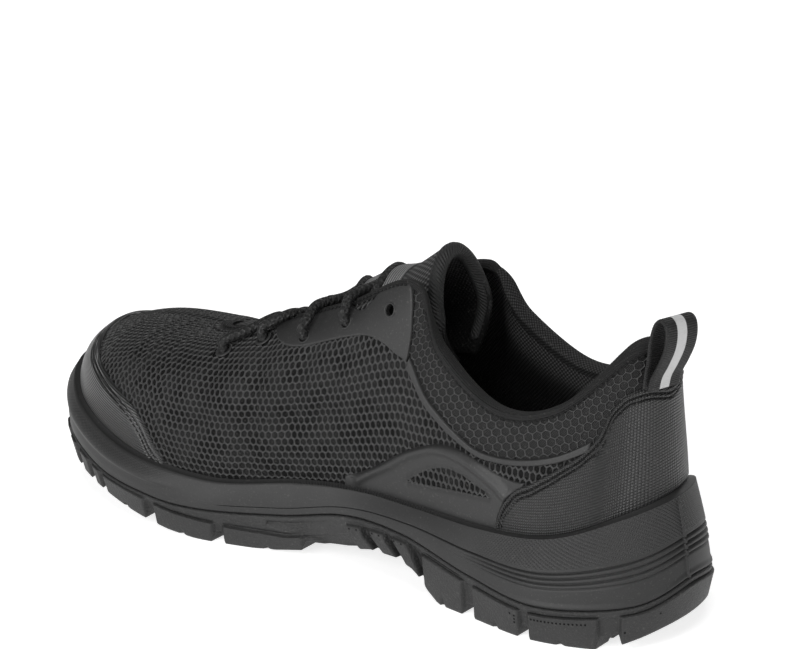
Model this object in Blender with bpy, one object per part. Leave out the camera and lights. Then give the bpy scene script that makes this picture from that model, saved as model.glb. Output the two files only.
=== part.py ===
"""Low lace-up work shoe for the right foot, standing empty on its sole.

Sizes are in millimetres and turned into metres when a piece is made.  The toe points to +X, the inner
side of the foot is +Y, and the floor is z = 0.  A place on the shoe is given by two numbers: s, the station
round the shoe (0 at the middle of the heel, 10 at the toe tip, counted along the inner side, then 20 back at
the heel along the outer side), and w, the height on the upper (0 at the sole's cup, 1 at the opening's edge).
"""

import bmesh
import bpy
import numpy as np
from mathutils import Matrix, Vector

MM = 0.001
TURN = 20.0             # stations in one turn round the shoe
UP = np.array([0.0, 0.0, 1.0])

GAP = 0.3               # clear space between two neighbouring pieces
WALL = 2.2              # wall of the upper
COLLAR_PAD = 4.6        # foam added to the wall inside the collar
COLLAR_CREST = 1.4      # height of the collar's rounded edge above its two faces
COLLAR_END = 4.9        # station where the collar meets the lace rows
FILM = 0.9              # welded film of the lace rows and side panels
CAP_SKIN = 1.2          # toe cap and heel counter
STRIP_HALF = 0.013      # half of the raised strip's width, as a share of the upper's height
BINDING = 1.0           # knitted binding of the collar
INSOLE_THICK = 4.0
LACE_R = 2.0
EYELET_R = 2.3
WEB_WIDTH = 15.0        # webbing of the pull loop
WEB_THICK = 1.3
LOOP_STATION = 0.42

CUP_FLOOR = 2.0         # midsole left under the upper's foot
UNDER_INSET = 9.0       # where the sole's parting surface turns level
PARTING_INSET = 0.8
LEDGE_DROP = 4.5        # from the parting line down to the top of the side lugs
LUG_PROUD = 1.2         # side lugs stand out of the wall
FOOT_INSET = 1.6        # the sole's wall tapers in this far at its foot, and twice as far round its ends
RIB_DEPTH = 0.7         # grooves round the heel
TOE_PROUD = 1.1         # thicker bumper round the toe

# One row per station, from the heel along the inner side to the toe and back along the outer side.
# foot: where the upper stands in the sole; edge: its opening; rise, bulge: how it leaves the foot;
# drop, spread: how it comes up to the edge.
UPPER_COLUMNS = "foot_x foot_y foot_z edge_x edge_y edge_z rise bulge drop spread"
UPPER_RIBS = {
    "heel_back":        (10, 4, 27, 11, 4, 114, 30, 4, 22, -5),
    "inner_heel_turn":  (18, 25, 27, 19, 18, 113, 28, 5, 22, -2),
    "inner_heel":       (44, 33, 27, 44, 28, 88, 25, 5, 15, 2),
    "inner_ankle":      (75, 32, 26, 70, 31, 82, 25, 4, 14, 2),
    "inner_waist":      (105, 29, 24, 97, 29, 98, 30, 3, 20, 4),
    "inner_instep":     (135, 28, 22, 112, 25, 121, 35, 4, 20, 10),
    "inner_throat":     (165, 32, 19, 146, 20, 104, 30, 6, 10, 16),
    "inner_ball":       (201, 42, 16, 180, 15, 88, 28, 7, 4, 25),
    "inner_toe_side":   (240, 44, 16, 206, 11, 77, 34, 7, 2, 34),
    "inner_toe_corner": (275, 32, 18, 218, 7, 73, 42, 8, 0, 44),
    "toe_tip":          (292, 5, 20, 221, 1, 72, 42, 9, 0, 52),
    "outer_toe_corner": (277, -23, 18, 218, -5, 71, 37, 7, 8, 44),
    "outer_toe_side":   (244, -39, 16, 206, -11, 72, 27, 7, 14, 34),
    "outer_ball":       (203, -47, 16, 180, -16, 84, 28, 7, 11, 25),
    "outer_throat":     (168, -46, 19, 146, -21, 102, 30, 6, 15, 16),
    "outer_instep":     (137, -41, 22, 112, -24, 115, 35, 4, 20, 10),
    "outer_waist":      (107, -37, 24, 97, -29, 96, 30, 3, 20, 4),
    "outer_ankle":      (75, -35, 26, 70, -31, 82, 25, 4, 14, 2),
    "outer_heel":       (44, -34, 27, 44, -28, 88, 25, 5, 15, 2),
    "outer_heel_turn":  (21, -22, 27, 20, -14, 112, 28, 3, 22, -2),
}

# The sole's widest line, the height of its parting line, how high its rim climbs the upper (as w),
# and the width of that rim.
SOLE_COLUMNS = "edge_x edge_y parting_z rim_w lip"
SOLE_RIBS = {
    "heel_back":        (-1, 4, 25, 0.320, 3.8),
    "inner_heel_turn":  (9, 28, 18, 0.285, 3.2),
    "inner_heel":       (42, 43, 14, 0.185, 3.2),
    "inner_ankle":      (75, 41.5, 17, 0.135, 3.0),
    "inner_waist":      (108, 38, 23, 0.115, 3.0),
    "inner_instep":     (138, 36, 22.5, 0.107, 3.0),
    "inner_throat":     (168, 40.5, 16, 0.126, 2.8),
    "inner_ball":       (205, 51, 13, 0.112, 2.6),
    "inner_toe_side":   (240, 52.5, 14, 0.140, 3.2),
    "inner_toe_corner": (279, 38, 18, 0.205, 3.2),
    "toe_tip":          (302, 6, 23, 0.285, 4.2),
    "outer_toe_corner": (284, -31, 18, 0.205, 3.4),
    "outer_toe_side":   (248, -48, 14, 0.140, 3.2),
    "outer_ball":       (205, -55, 13, 0.112, 2.6),
    "outer_throat":     (170, -54, 16, 0.126, 2.8),
    "outer_instep":     (138, -48.5, 22.5, 0.107, 3.0),
    "outer_waist":      (108, -44.5, 23, 0.115, 3.0),
    "outer_ankle":      (75, -43, 17, 0.135, 3.0),
    "outer_heel":       (42, -42, 14, 0.185, 3.2),
    "outer_heel_turn":  (10, -26, 18, 0.280, 3.8),
}

# Along the shoe: lug bottoms, and the floor of the grooves between them.
TREAD_COLUMNS = "x lug_z groove_z"
TREAD = (
    (0, 9.5, 13.5), (8, 5.0, 9.5), (15, 1.6, 6.0), (21, 0.0, 4.6), (30, 0.0, 4.5), (90, 0.0, 4.5),
    (96, 4.0, 6.6), (103, 10.0, 10.0), (112, 12.0, 12.0), (125, 11.2, 11.2), (138, 8.2, 8.2), (150, 4.8, 7.2),
    (158, 3.0, 6.4), (170, 0.8, 5.0), (180, 0.0, 4.5), (216, 0.0, 4.5), (240, 3.2, 6.9), (260, 6.6, 9.6),
    (280, 10.6, 13.0), (302, 16.6, 18.4),
)

# Lugs of one side, by station; the outer side mirrors them.
LUG_COLUMNS = "first last"
SIDE_LUGS = {
    "heel_rear":     (1.25, 1.97),
    "heel_middle":   (2.09, 2.79),
    "heel_front":    (2.91, 3.60),
    "ball_rear":     (5.67, 6.62),
    "ball_middle":   (6.73, 7.49),
    "ball_front":    (7.63, 8.41),
    "toe_first":     (8.51, 8.85),
    "toe_second":    (8.95, 9.30),
    "toe_third":     (9.40, 9.70),
}
WAIST_RIBS = {"rib_rear": (3.85, 4.02), "rib_middle": (4.23, 4.40), "rib_front": (4.63, 4.80)}
BACK_LUG_END = 1.12
TOE_LUG_START = 9.80
CENTRE_LUGS = ("heel_rear", "heel_middle", "heel_front", "ball_rear", "ball_middle", "ball_front")
ACROSS = (0.0, 0.30, 0.37, 0.63, 0.70, 1.0)      # side lug, groove, centre lug, groove, side lug

# Edges of the overlays: station and height on the upper.
TOE_CAP_EDGE = ((7.54, 0.120), (7.59, 0.145), (7.70, 0.188), (7.84, 0.250), (8.01, 0.300), (8.30, 0.350),
                (8.60, 0.382), (8.91, 0.415), (9.21, 0.442), (9.50, 0.490), (10.0, 0.545))
COUNTER_EDGE = ((0.0, 0.775), (0.81, 0.787), (1.14, 0.780), (1.29, 0.746), (1.41, 0.667), (1.58, 0.617),
                (1.88, 0.572), (2.26, 0.483), (2.54, 0.392), (2.68, 0.271), (2.73, 0.190))
LACE_ROW_LOW = ((4.71, 0.672), (4.95, 0.660), (5.26, 0.696), (5.54, 0.738), (5.85, 0.758), (6.24, 0.754),
                (6.51, 0.750), (6.80, 0.782), (6.98, 0.840), (7.16, 0.930))
LACE_ROW_HIGH = ((4.71, 0.700), (4.76, 0.783), (5.00, 0.900), (5.08, 0.945), (5.25, 0.975), (7.16, 0.975))
SIDE_PANEL_EDGE = ((2.36, 0.486), (2.54, 0.492), (2.70, 0.497), (2.95, 0.512), (3.20, 0.521), (3.48, 0.521), (3.73, 0.500), (3.99, 0.442),
                   (4.24, 0.362), (4.50, 0.283), (4.74, 0.225), (5.29, 0.150))
WINDOW_LOW = ((2.90, 0.325), (3.14, 0.310), (3.49, 0.279), (3.84, 0.237), (4.22, 0.203))
WINDOW_HIGH = ((2.90, 0.333), (2.99, 0.350), (3.15, 0.371), (3.35, 0.375), (3.61, 0.362), (3.81, 0.321),
               (4.01, 0.263), (4.22, 0.212))
STRIP_LINE = ((1.62, 0.659), (1.75, 0.656), (2.09, 0.646), (2.48, 0.629), (2.86, 0.608), (3.21, 0.596),
              (3.58, 0.617), (4.01, 0.646), (4.58, 0.676))
EYELETS = ((7.69, 0.771), (7.21, 0.842), (6.53, 0.808), (5.93, 0.850), (5.28, 0.846))
FILM_EYELETS = (2, 3, 4)

# The tongue from its hidden front end up to its free top.
TONGUE_COLUMNS = "x crown_z half_width depth lean thick"
TONGUE = (
    (234, 65.6, 15, 5, 0, 2.4),
    (221, 67.2, 16, 8, 0, 2.6),
    (206, 70.8, 18, 12, 0, 3.2),
    (180, 85.0, 20, 18, 0, 4.0),
    (163, 95.6, 22, 21, 0, 4.6),
    (146, 105.6, 22, 22, 0, 5.0),
    (130, 116.8, 20.5, 25, 2, 5.4),
    (114, 130.0, 17.5, 29, 9, 5.0),
)
KEEPER_ROWS = (1, 3)      # rows of the tongue that carry its keeper band
KEEPER_REACH = 35.0     # degrees of the tongue's arch to each side
KEEPER_THICK = 0.8

# Pull loop: distance out of the heel and height above its base, up the inner leg and down the outer one.
LOOP_PATH = ((1.1, 0.0), (1.8, 6.0), (3.0, 12.0), (3.6, 18.0), (5.2, 24.0), (7.0, 27.4), (9.6, 28.6), (12.0, 26.8),
             (12.6, 22.5), (11.4, 17.0), (8.2, 10.5), (5.0, 5.0), (3.6, 0.0))


def table(columns, rows):
    """Columns of a table by name, as arrays."""
    values = np.array(list(rows), float)
    return {name: values[:, i] for i, name in enumerate(columns.split())}


def loop_spline(values, s):
    """Smooth closed curve through values at the whole stations, read at s."""
    n = len(values)
    i = np.floor(s).astype(int)
    u = s - i
    a, b, c, d = (values[(i + k) % n] for k in (-1, 0, 1, 2))
    return b + 0.5 * u * (c - a + u * (2 * a - 5 * b + 4 * c - d + u * (3 * (b - c) + d - a)))


UPPER = table(UPPER_COLUMNS, UPPER_RIBS.values())
SOLE = table(SOLE_COLUMNS, SOLE_RIBS.values())
TONGUE_X = np.linspace(TONGUE[-1][0], TONGUE[0][0], 13)
TONGUE_ANGLE = np.radians(np.linspace(-82, 82, 10))
GROUND = table(TREAD_COLUMNS, TREAD)


def plan_normal(rows, x_name, y_name, s):
    """Outward direction in plan of the closed line held in two columns."""
    step = 0.02
    dx = loop_spline(rows[x_name], s + step) - loop_spline(rows[x_name], s - step)
    dy = loop_spline(rows[y_name], s + step) - loop_spline(rows[y_name], s - step)
    length = np.hypot(dx, dy)
    return np.stack([-dy / length, dx / length, 0 * dx], -1)


def last(s, w):
    """Outside of the upper: one cubic rib per station, from the sole's cup to the opening's edge."""
    s, w = np.broadcast_arrays(np.asarray(s, float), np.asarray(w, float))
    c = {name: loop_spline(values, s) for name, values in UPPER.items()}
    out = plan_normal(UPPER, "foot_x", "foot_y", s)
    foot = np.stack([c["foot_x"], c["foot_y"], c["foot_z"]], -1)
    edge = np.stack([c["edge_x"], c["edge_y"], c["edge_z"]], -1)
    near_foot = foot + out * c["bulge"][..., None] + UP * c["rise"][..., None]
    near_edge = edge + out * c["spread"][..., None] - UP * c["drop"][..., None]
    w = w[..., None]
    return ((1 - w) ** 3 * foot + 3 * w * (1 - w) ** 2 * near_foot
            + 3 * w * w * (1 - w) * near_edge + w ** 3 * edge)


def skin(s, w, off):
    """Surface parallel to the upper's outside, off millimetres out of it."""
    s, w, off = np.broadcast_arrays(np.asarray(s, float), np.asarray(w, float), np.asarray(off, float))
    along = last(s + 0.02, w) - last(s - 0.02, w)
    up = last(s, w + 0.004) - last(s, w - 0.004)
    normal = np.cross(up, along)
    normal /= np.linalg.norm(normal, axis=-1, keepdims=True)
    return last(s, w) + normal * off[..., None]


def ramp(x, low, high):
    """Soft step from 0 at low to 1 at high."""
    u = np.clip((np.asarray(x, float) - low) / (high - low), 0.0, 1.0)
    return u * u * (3 - 2 * u)


def side_station(s):
    """Station counted from the heel on either side, 0 to 10."""
    s = np.mod(s, TURN)
    return np.minimum(s, TURN - s)


def wall(s, w):
    """Wall of the upper: one thickness, with foam round the collar."""
    collar = 1 - ramp(side_station(s), COLLAR_END - 0.9, COLLAR_END + 0.3)
    foam = ramp(w, 0.45, 0.82) * (1 - 0.5 * ramp(w, 0.86, 1.0))
    return WALL + COLLAR_PAD * collar * foam


def crest_height(s):
    """How far the opening's edge is rounded up above its two faces."""
    return 0.3 + (COLLAR_CREST - 0.3) * (1 - ramp(side_station(s), COLLAR_END - 0.9, COLLAR_END + 0.3))


def edge_line(points, s):
    """Height of an overlay's edge at station s, from its short table."""
    stations, heights = np.array(points, float).T
    return np.interp(side_station(s), stations, heights)


def mirrored(s, outer_side):
    """The same place on the outer side of the shoe."""
    return TURN - s if outer_side else s


def make_object(name, verts, faces, colour, roughness):
    """Closed solid in metres with its own material."""
    mesh = bpy.data.meshes.new(name)
    mesh.from_pydata((np.asarray(verts, float) * MM).tolist(), [], faces)
    body = bmesh.new()
    body.from_mesh(mesh)
    bmesh.ops.remove_doubles(body, verts=body.verts, dist=0.00002)
    bmesh.ops.recalc_face_normals(body, faces=body.faces)
    body.to_mesh(mesh)
    body.free()
    return finish_object(name, mesh, colour, roughness)


def finish_object(name, mesh, colour, roughness):
    """Object for a mesh, linked to the scene with a plain material."""
    material = bpy.data.materials.new(name)
    material.use_nodes = True
    shader = material.node_tree.nodes["Principled BSDF"]
    shader.inputs["Base Color"].default_value = (*colour, 1.0)
    shader.inputs["Roughness"].default_value = roughness
    mesh.materials.append(material)
    thing = bpy.data.objects.new(name, mesh)
    bpy.context.scene.collection.objects.link(thing)
    return thing


def shell(outer, inner, wrap=False):
    """Vertices and faces of the solid between two grids of points of the same shape."""
    n, m = outer.shape[:2]
    verts = np.concatenate([outer.reshape(-1, 3), inner.reshape(-1, 3)])
    steps = n if wrap else n - 1
    faces = []
    for i in range(steps):
        a = i * m
        b = ((i + 1) % n) * m
        for j in range(m - 1):
            faces.append((a + j, b + j, b + j + 1, a + j + 1))
            faces.append((n * m + a + j, n * m + a + j + 1, n * m + b + j + 1, n * m + b + j))
        for j in (0, m - 1):
            faces.append((a + j, b + j, n * m + b + j, n * m + a + j))
    if not wrap:
        for a in (0, (n - 1) * m):
            for j in range(m - 1):
                faces.append((a + j, a + j + 1, n * m + a + j + 1, n * m + a + j))
    return verts, faces


def ladder(n, start):
    """Faces across a ring of n points whose two sides are numbered to match."""
    faces = [(start, start + 1, start + n - 1)]
    for i in range(1, n // 2 - 1):
        faces.append((start + i, start + i + 1, start + n - i - 1))
        faces.append((start + i, start + n - i - 1, start + n - i))
    faces.append((start + n // 2 - 1, start + n // 2, start + n // 2 + 1))
    return faces


def ring_stack(rings):
    """Vertices and faces of a solid lofted through rings, both ends closed straight across."""
    count, n = len(rings), len(rings[0])
    faces = ladder(n, 0) + ladder(n, (count - 1) * n)
    for k in range(count - 1):
        for i in range(n):
            j = (i + 1) % n
            faces.append((k * n + i, k * n + j, (k + 1) * n + j))
            faces.append((k * n + i, (k + 1) * n + j, (k + 1) * n + i))
    return np.concatenate(rings), faces


def combine(thing, others, operation):
    """Cut others out of thing, or join them to it, and remove them."""
    for other in others:
        step = thing.modifiers.new(operation.lower(), "BOOLEAN")
        step.operation = operation
        step.solver = "EXACT"
        step.object = other
    graph = bpy.context.evaluated_depsgraph_get()
    mesh = bpy.data.meshes.new_from_object(thing.evaluated_get(graph))
    thing.modifiers.clear()
    thing.data = mesh
    for other in others:
        bpy.data.objects.remove(other, do_unlink=True)
    return thing


def patch(stations, low, high, rows, inside, outside):
    """Overlay between two heights on the upper, from inside to outside millimetres out of it."""
    s = np.asarray(stations, float)[:, None]
    share = np.linspace(0.0, 1.0, rows)[None, :]
    w = low[:, None] * (1 - share) + high[:, None] * share
    s = np.broadcast_to(s, w.shape)
    return shell(skin(s, w, outside), skin(s, w, inside))


def sole_edge(s, inset, z):
    """Point on the sole's widest line at station s, moved in by inset, at height z."""
    normal = plan_normal(SOLE, "edge_x", "edge_y", s)
    xy = np.stack([loop_spline(SOLE["edge_x"], s), loop_spline(SOLE["edge_y"], s), 0 * s], -1)
    return xy - normal * np.asarray(inset, float)[..., None] + UP * np.asarray(z, float)[..., None]


def ground(x, name):
    """Height of the lug bottoms or groove floors along the shoe."""
    return np.interp(x, GROUND["x"], GROUND[name])


def stations():
    """Stations that the pieces share, with every lug's ends among them, alike on both sides."""
    ends = {0.0, BACK_LUG_END, TOE_LUG_START, TURN / 2}
    for lug in list(SIDE_LUGS.values()) + list(WAIST_RIBS.values()):
        ends.update(lug)
    ends = sorted(ends)
    side = []
    for a, b in zip(ends, ends[1:]):
        parts = int(np.ceil((b - a) / 0.5))
        side.extend(a + (b - a) * k / parts for k in range(parts))
    side.append(TURN / 2)
    return np.array(side + [TURN - s for s in side[-2:0:-1]])


def parting_rings(s, drop):
    """The surface where midsole and outsole meet: its outer line and the level part inside it."""
    parting = loop_spline(SOLE["parting_z"], s)
    under = np.minimum(parting - 1.0, loop_spline(UPPER["foot_z"], s) - CUP_FLOOR)
    outer = sole_edge(s, PARTING_INSET + 0 * s, parting - drop)
    inner = sole_edge(s, UNDER_INSET + 0 * s, under - drop)
    return outer, inner


def build_upper():
    """Hollow upper, open at the collar and throat and underneath, with its lace holes."""
    s = stations()[:, None]
    outside = np.array([0.0, 0.09, 0.19, 0.30, 0.42, 0.55, 0.68, 0.80, 0.91, 1.0])[None, :]
    inside = np.array([0.0, 0.2, 0.45, 0.62, 0.8, 0.91, 1.0])[None, :]
    outer = skin(s, outside, 0.0)
    inner = skin(s, inside, -wall(s, inside))
    crest = 0.5 * (outer[:, -1:] + inner[:, -1:]) + UP * crest_height(s)[..., None]
    loop = np.concatenate([outer, crest, inner[:, ::-1]], 1)
    n, m = loop.shape[:2]
    faces = []
    for i in range(n):
        a, b = i * m, ((i + 1) % n) * m
        for j in range(m):
            k = (j + 1) % m
            faces.append((a + j, b + j, b + k, a + k))
    thing = make_object("upper", loop.reshape(-1, 3), faces, (0.030, 0.030, 0.031), 0.8)
    return combine(thing, eyelet_cutters(range(len(EYELETS)), (False, True)), "DIFFERENCE")


def eyelet_cutters(chosen, sides):
    """Short pins along the surface's normal, one per lace hole."""
    pins = []
    for outer_side in sides:
        for k in chosen:
            s, w = EYELETS[k]
            s = mirrored(s, outer_side)
            top, bottom = skin(s, w, 6.0), skin(s, w, -6.0)
            pins.append(tube("pin", np.array([bottom, top]), EYELET_R, 8))
    return pins


def tube(name, path, radius, sides):
    """Round rod along a path of points."""
    path = np.asarray(path, float)
    tangent = np.gradient(path, axis=0)
    tangent /= np.linalg.norm(tangent, axis=1, keepdims=True)
    side = np.cross(tangent, UP + 0.05 * np.array([1.0, 0.0, 0.0]))
    side /= np.linalg.norm(side, axis=1, keepdims=True)
    over = np.cross(side, tangent)
    angle = np.linspace(0, 2 * np.pi, sides, endpoint=False)[None, :, None]
    rings = path[:, None] + radius * (np.cos(angle) * side[:, None] + np.sin(angle) * over[:, None])
    n = len(path)
    faces = [tuple(range(sides)), tuple(range((n - 1) * sides, n * sides))]
    for i in range(n - 1):
        for j in range(sides):
            k = (j + 1) % sides
            faces.append((i * sides + j, i * sides + k, (i + 1) * sides + k, (i + 1) * sides + j))
    return make_object(name, rings.reshape(-1, 3), faces, (0.018, 0.018, 0.018), 0.75)


def build_midsole():
    """Cup that holds the upper, with the grooves of its heel, the line along its waist and its toe bumper."""
    s = stations()
    side = side_station(s)
    rim_w = loop_spline(SOLE["rim_w"], s)
    lip = loop_spline(SOLE["lip"], s)[:, None]
    out = plan_normal(UPPER, "foot_x", "foot_y", s)
    parting = loop_spline(SOLE["parting_z"], s)
    floor = skin(s, 0 * s, GAP)
    floor[:, 2] = loop_spline(UPPER["foot_z"], s) - GAP
    rim = skin(s, rim_w, GAP)
    shoulder = rim + out * lip - UP * 0.9
    rings = [floor] + [skin(s, share * rim_w, GAP) for share in (0.35, 0.7)]
    rings += [rim, rim + out * 0.45 * lip + UP * 0.4, shoulder]
    edge = sole_edge(s, 0 * s, parting + 0.8)
    edge_out = plan_normal(SOLE, "edge_x", "edge_y", s)
    line = 0.47 + 0.33 * ramp(side, 3.2, 6.2)            # the top groove drops to the parting line forward
    heel = 1 - ramp(side, 2.2, 3.4)
    waist = (1 - ramp(side, 6.6, 7.2)) * ramp(side, 1.8, 3.0)
    toe = ramp(side, 7.5, 7.75)
    rows = (0.18, 0.34, 0.47, 0.51, 0.55, 0.59, 0.64, 0.68, 0.73, 1.0)
    recess = {0.51: np.maximum(heel, waist), 0.59: heel, 0.68: heel}
    proud = {0.18: 0.6, 0.34: 1.0, 0.47: 1.0, 0.51: 1.0, 0.55: 1.0, 0.59: 1.0, 0.64: 1.0, 0.68: 0.9, 0.73: 0.7}
    for row in rows:
        f = row ** (np.log(line) / np.log(0.47))
        reach = (np.sin(0.5 * np.pi * f) * (1 - 0.6 * heel) + 0.6 * heel * f)[:, None]
        level = shoulder + (edge - shoulder) * np.concatenate([reach, reach, f[:, None]], 1)
        push = TOE_PROUD * toe * proud.get(row, 0.0) - RIB_DEPTH * recess.get(row, 0.0)
        rings.append(level + edge_out * push[:, None])
    rings.extend(parting_rings(s, 0.0))
    verts, faces = ring_stack(rings)
    return make_object("midsole", verts, faces, (0.055, 0.055, 0.056), 0.7)


def build_outsole():
    """Tread plate under the midsole, with side lugs that climb its wall, centre lugs and waist ribs."""
    s = stations()
    n = len(s)
    half = n // 2
    parting = loop_spline(SOLE["parting_z"], s)
    top, inner_top = parting_rings(s, GAP)
    x_edge = loop_spline(SOLE["edge_x"], s)
    groove = ground(x_edge, "groove_z")
    ledge = np.maximum(parting - LEDGE_DROP, groove + 1.5)
    lip = sole_edge(s, 0 * s, parting - GAP - 0.7)
    ledge_ring = sole_edge(s, 0.3 + 0 * s, ledge)
    ends = np.maximum(ramp(side_station(s), 6.8, 8.2), 1 - ramp(side_station(s), 0.4, 1.3))
    foot = sole_edge(s, FOOT_INSET * (1 + ends), groove)
    foot[:, 2] = ground(foot[:, 0], "groove_z")
    rings = [inner_top, top, lip, ledge_ring, foot]
    verts = list(np.concatenate(rings))
    faces = ladder(n, 0)
    band = {}
    for k in range(len(rings) - 1):
        for i in range(n):
            j = (i + 1) % n
            if k == 0:
                faces.append((i, j, n + i))
                faces.append((j, n + j, n + i))
                continue
            if k == 3:
                band[i] = len(faces)
            faces.append((k * n + i, k * n + j, (k + 1) * n + j, (k + 1) * n + i))
    bottom = {}
    rung = {}
    for i in range(1, half):
        a, b = foot[i], foot[n - i]
        row = [4 * n + i]
        for share in ACROSS[1:-1]:
            point = a + (b - a) * share
            point[2] = ground(point[0], "groove_z")
            row.append(len(verts))
            verts.append(point)
        row.append(4 * n + n - i)
        rung[i] = row
    for i in range(1, half - 1):
        for c in range(len(ACROSS) - 1):
            bottom[i, c] = len(faces)
            faces.append((rung[i][c], rung[i][c + 1], rung[i + 1][c + 1], rung[i + 1][c]))
    bottom["heel"] = len(faces)
    faces.append((4 * n, *rung[1]))
    bottom["toe"] = len(faces)
    faces.append((4 * n + half, *rung[half - 1]))

    verts = np.array(verts)
    move = np.zeros_like(verts)
    out = plan_normal(SOLE, "edge_x", "edge_y", s)
    move[3 * n:4 * n] += out * LUG_PROUD
    move[4 * n:5 * n] += out * LUG_PROUD
    below = ground(verts[4 * n:, 0], "lug_z") - verts[4 * n:, 2]
    move[4 * n:, 2] += np.minimum(below, 0.0)
    first_x = verts[4 * n:, 0]
    flat = (first_x > 21) & (first_x < 90) | (first_x > 180) & (first_x < 216)
    move[4 * n:, 2] = np.where(flat, -verts[4 * n:, 2], move[4 * n:, 2])

    def span(first, end):
        return [i for i in range(half) if s[i] >= first - 1e-6 and s[i + 1] <= end + 1e-6]

    regions = []
    for name, (first, end) in SIDE_LUGS.items():
        steps = span(first, end)
        last_column = len(ACROSS) - 2
        regions.append([band[i] for i in steps] + [bottom[i, 0] for i in steps])
        regions.append([band[n - 1 - i] for i in steps] + [bottom[i, last_column] for i in steps])
        if name in CENTRE_LUGS:
            regions.append([bottom[i, 2] for i in steps])
    for first, end in WAIST_RIBS.values():
        steps = span(first, end)
        regions.append([band[i] for i in steps])
        regions.append([band[n - 1 - i] for i in steps])
    back = span(0.0, BACK_LUG_END)
    regions.append([band[i] for i in back] + [band[n - 1 - i] for i in back] + [bottom["heel"]]
                   + [bottom[i, c] for i in back if i > 0 for c in range(len(ACROSS) - 1)])
    tip = span(TOE_LUG_START, TURN / 2)
    regions.append([band[i] for i in tip] + [band[n - 1 - i] for i in tip] + [bottom["toe"]]
                   + [bottom[i, c] for i in tip if i < half - 1 for c in range(len(ACROSS) - 1)])

    body = bmesh.new()
    shift = body.verts.layers.float_vector.new("shift")
    points = [body.verts.new((p * MM).tolist()) for p in verts]
    for point, vector in zip(points, move):
        point[shift] = Vector((vector * MM).tolist())
    planes = [body.faces.new([points[i] for i in face]) for face in faces]
    bmesh.ops.recalc_face_normals(body, faces=body.faces)
    for region in regions:
        grown = bmesh.ops.extrude_face_region(body, geom=[planes[i] for i in region])
        bmesh.ops.delete(body, geom=[planes[i] for i in region if planes[i].is_valid], context="FACES_KEEP_BOUNDARY")
        for item in grown["geom"]:
            if isinstance(item, bmesh.types.BMVert):
                item.co += item[shift]
    body.verts.layers.float_vector.remove(shift)
    bmesh.ops.recalc_face_normals(body, faces=body.faces)
    mesh = bpy.data.meshes.new("outsole")
    body.to_mesh(mesh)
    body.free()
    return finish_object("outsole", mesh, (0.050, 0.050, 0.051), 0.75)


def build_insole():
    """Loose footbed on the cup's floor, inside the upper."""
    s = stations()
    inset = -(WALL + 3 * GAP)
    low = skin(s, 0 * s, inset)
    low[:, 2] = loop_spline(UPPER["foot_z"], s)
    high = skin(s, 0.035 + 0 * s, inset)
    high[:, 2] = low[:, 2] + INSOLE_THICK
    dish = skin(s, 0.035 + 0 * s, inset - 7.0)
    dish[:, 2] = low[:, 2] + INSOLE_THICK - 0.8
    verts, faces = ring_stack([low, high, dish])
    return make_object("insole", verts, faces, (0.012, 0.012, 0.012), 0.9)


def tongue_values(x):
    """Columns of the tongue's table at x, smoothly between its rows."""
    columns = table(TONGUE_COLUMNS, TONGUE[::-1])
    slope = {name: np.gradient(values, columns["x"]) for name, values in columns.items()}
    i = np.clip(np.searchsorted(columns["x"], x, side="right") - 1, 0, len(TONGUE) - 2)
    h = columns["x"][i + 1] - columns["x"][i]
    u = (x - columns["x"][i]) / h
    out = {}
    for name, v in columns.items():
        m = slope[name]
        out[name] = ((2 * u ** 3 - 3 * u ** 2 + 1) * v[i] + (u ** 3 - 2 * u ** 2 + u) * h * m[i]
                     + (3 * u ** 2 - 2 * u ** 3) * v[i + 1] + (u ** 3 - u ** 2) * h * m[i + 1])
    return out


def tongue_sheet(x, angle):
    """Top face of the tongue: an arch across the foot at each x, from edge to edge as angle goes -90 to 90 degrees."""
    x, angle = np.broadcast_arrays(np.asarray(x, float), np.asarray(angle, float))
    c = tongue_values(x)
    fall = 1 - np.cos(angle)
    return np.stack([x - c["lean"] * fall, c["half_width"] * np.sin(angle), c["crown_z"] - c["depth"] * fall], -1)


def tongue_skin(x, angle, off):
    """Surface parallel to the tongue's top face."""
    along = tongue_sheet(x + 0.2, angle) - tongue_sheet(x - 0.2, angle)
    across = tongue_sheet(x, angle + 0.01) - tongue_sheet(x, angle - 0.01)
    normal = np.cross(along, across)
    normal /= np.linalg.norm(normal, axis=-1, keepdims=True)
    return tongue_sheet(x, angle) + normal * np.asarray(off, float)[..., None]


def tongue_top(x, y):
    """Height of the tongue's top face above a point of the plan."""
    c = tongue_values(np.asarray(x, float))
    share = np.clip(y / c["half_width"], -0.98, 0.98)
    return c["crown_z"] - c["depth"] * (1 - np.sqrt(1 - share ** 2))


def build_tongue():
    """Padded tongue under the lace rows, arched across the foot, open at its top."""
    x, angle = np.broadcast_arrays(TONGUE_X[:, None], TONGUE_ANGLE[None, :])
    thick = tongue_values(x)["thick"]
    verts, faces = shell(tongue_skin(x, angle, 0 * x), tongue_skin(x, angle, -thick))
    return make_object("tongue", verts, faces, (0.028, 0.028, 0.029), 0.85)


def build_keeper():
    """Grey band across the tongue that keeps the lace in the middle."""
    reach = np.radians(KEEPER_REACH)
    inside = TONGUE_ANGLE[np.abs(TONGUE_ANGLE) < reach]
    angle = np.concatenate([[-reach], inside, [reach]])
    x, angle = np.broadcast_arrays(TONGUE_X[KEEPER_ROWS[0]:KEEPER_ROWS[1] + 1, None], angle[None, :])
    verts, faces = shell(tongue_skin(x, angle, GAP + KEEPER_THICK + 0 * x), tongue_skin(x, angle, GAP + 0 * x))
    return make_object("tongue_keeper", verts, faces, (0.16, 0.16, 0.16), 0.7)


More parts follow.
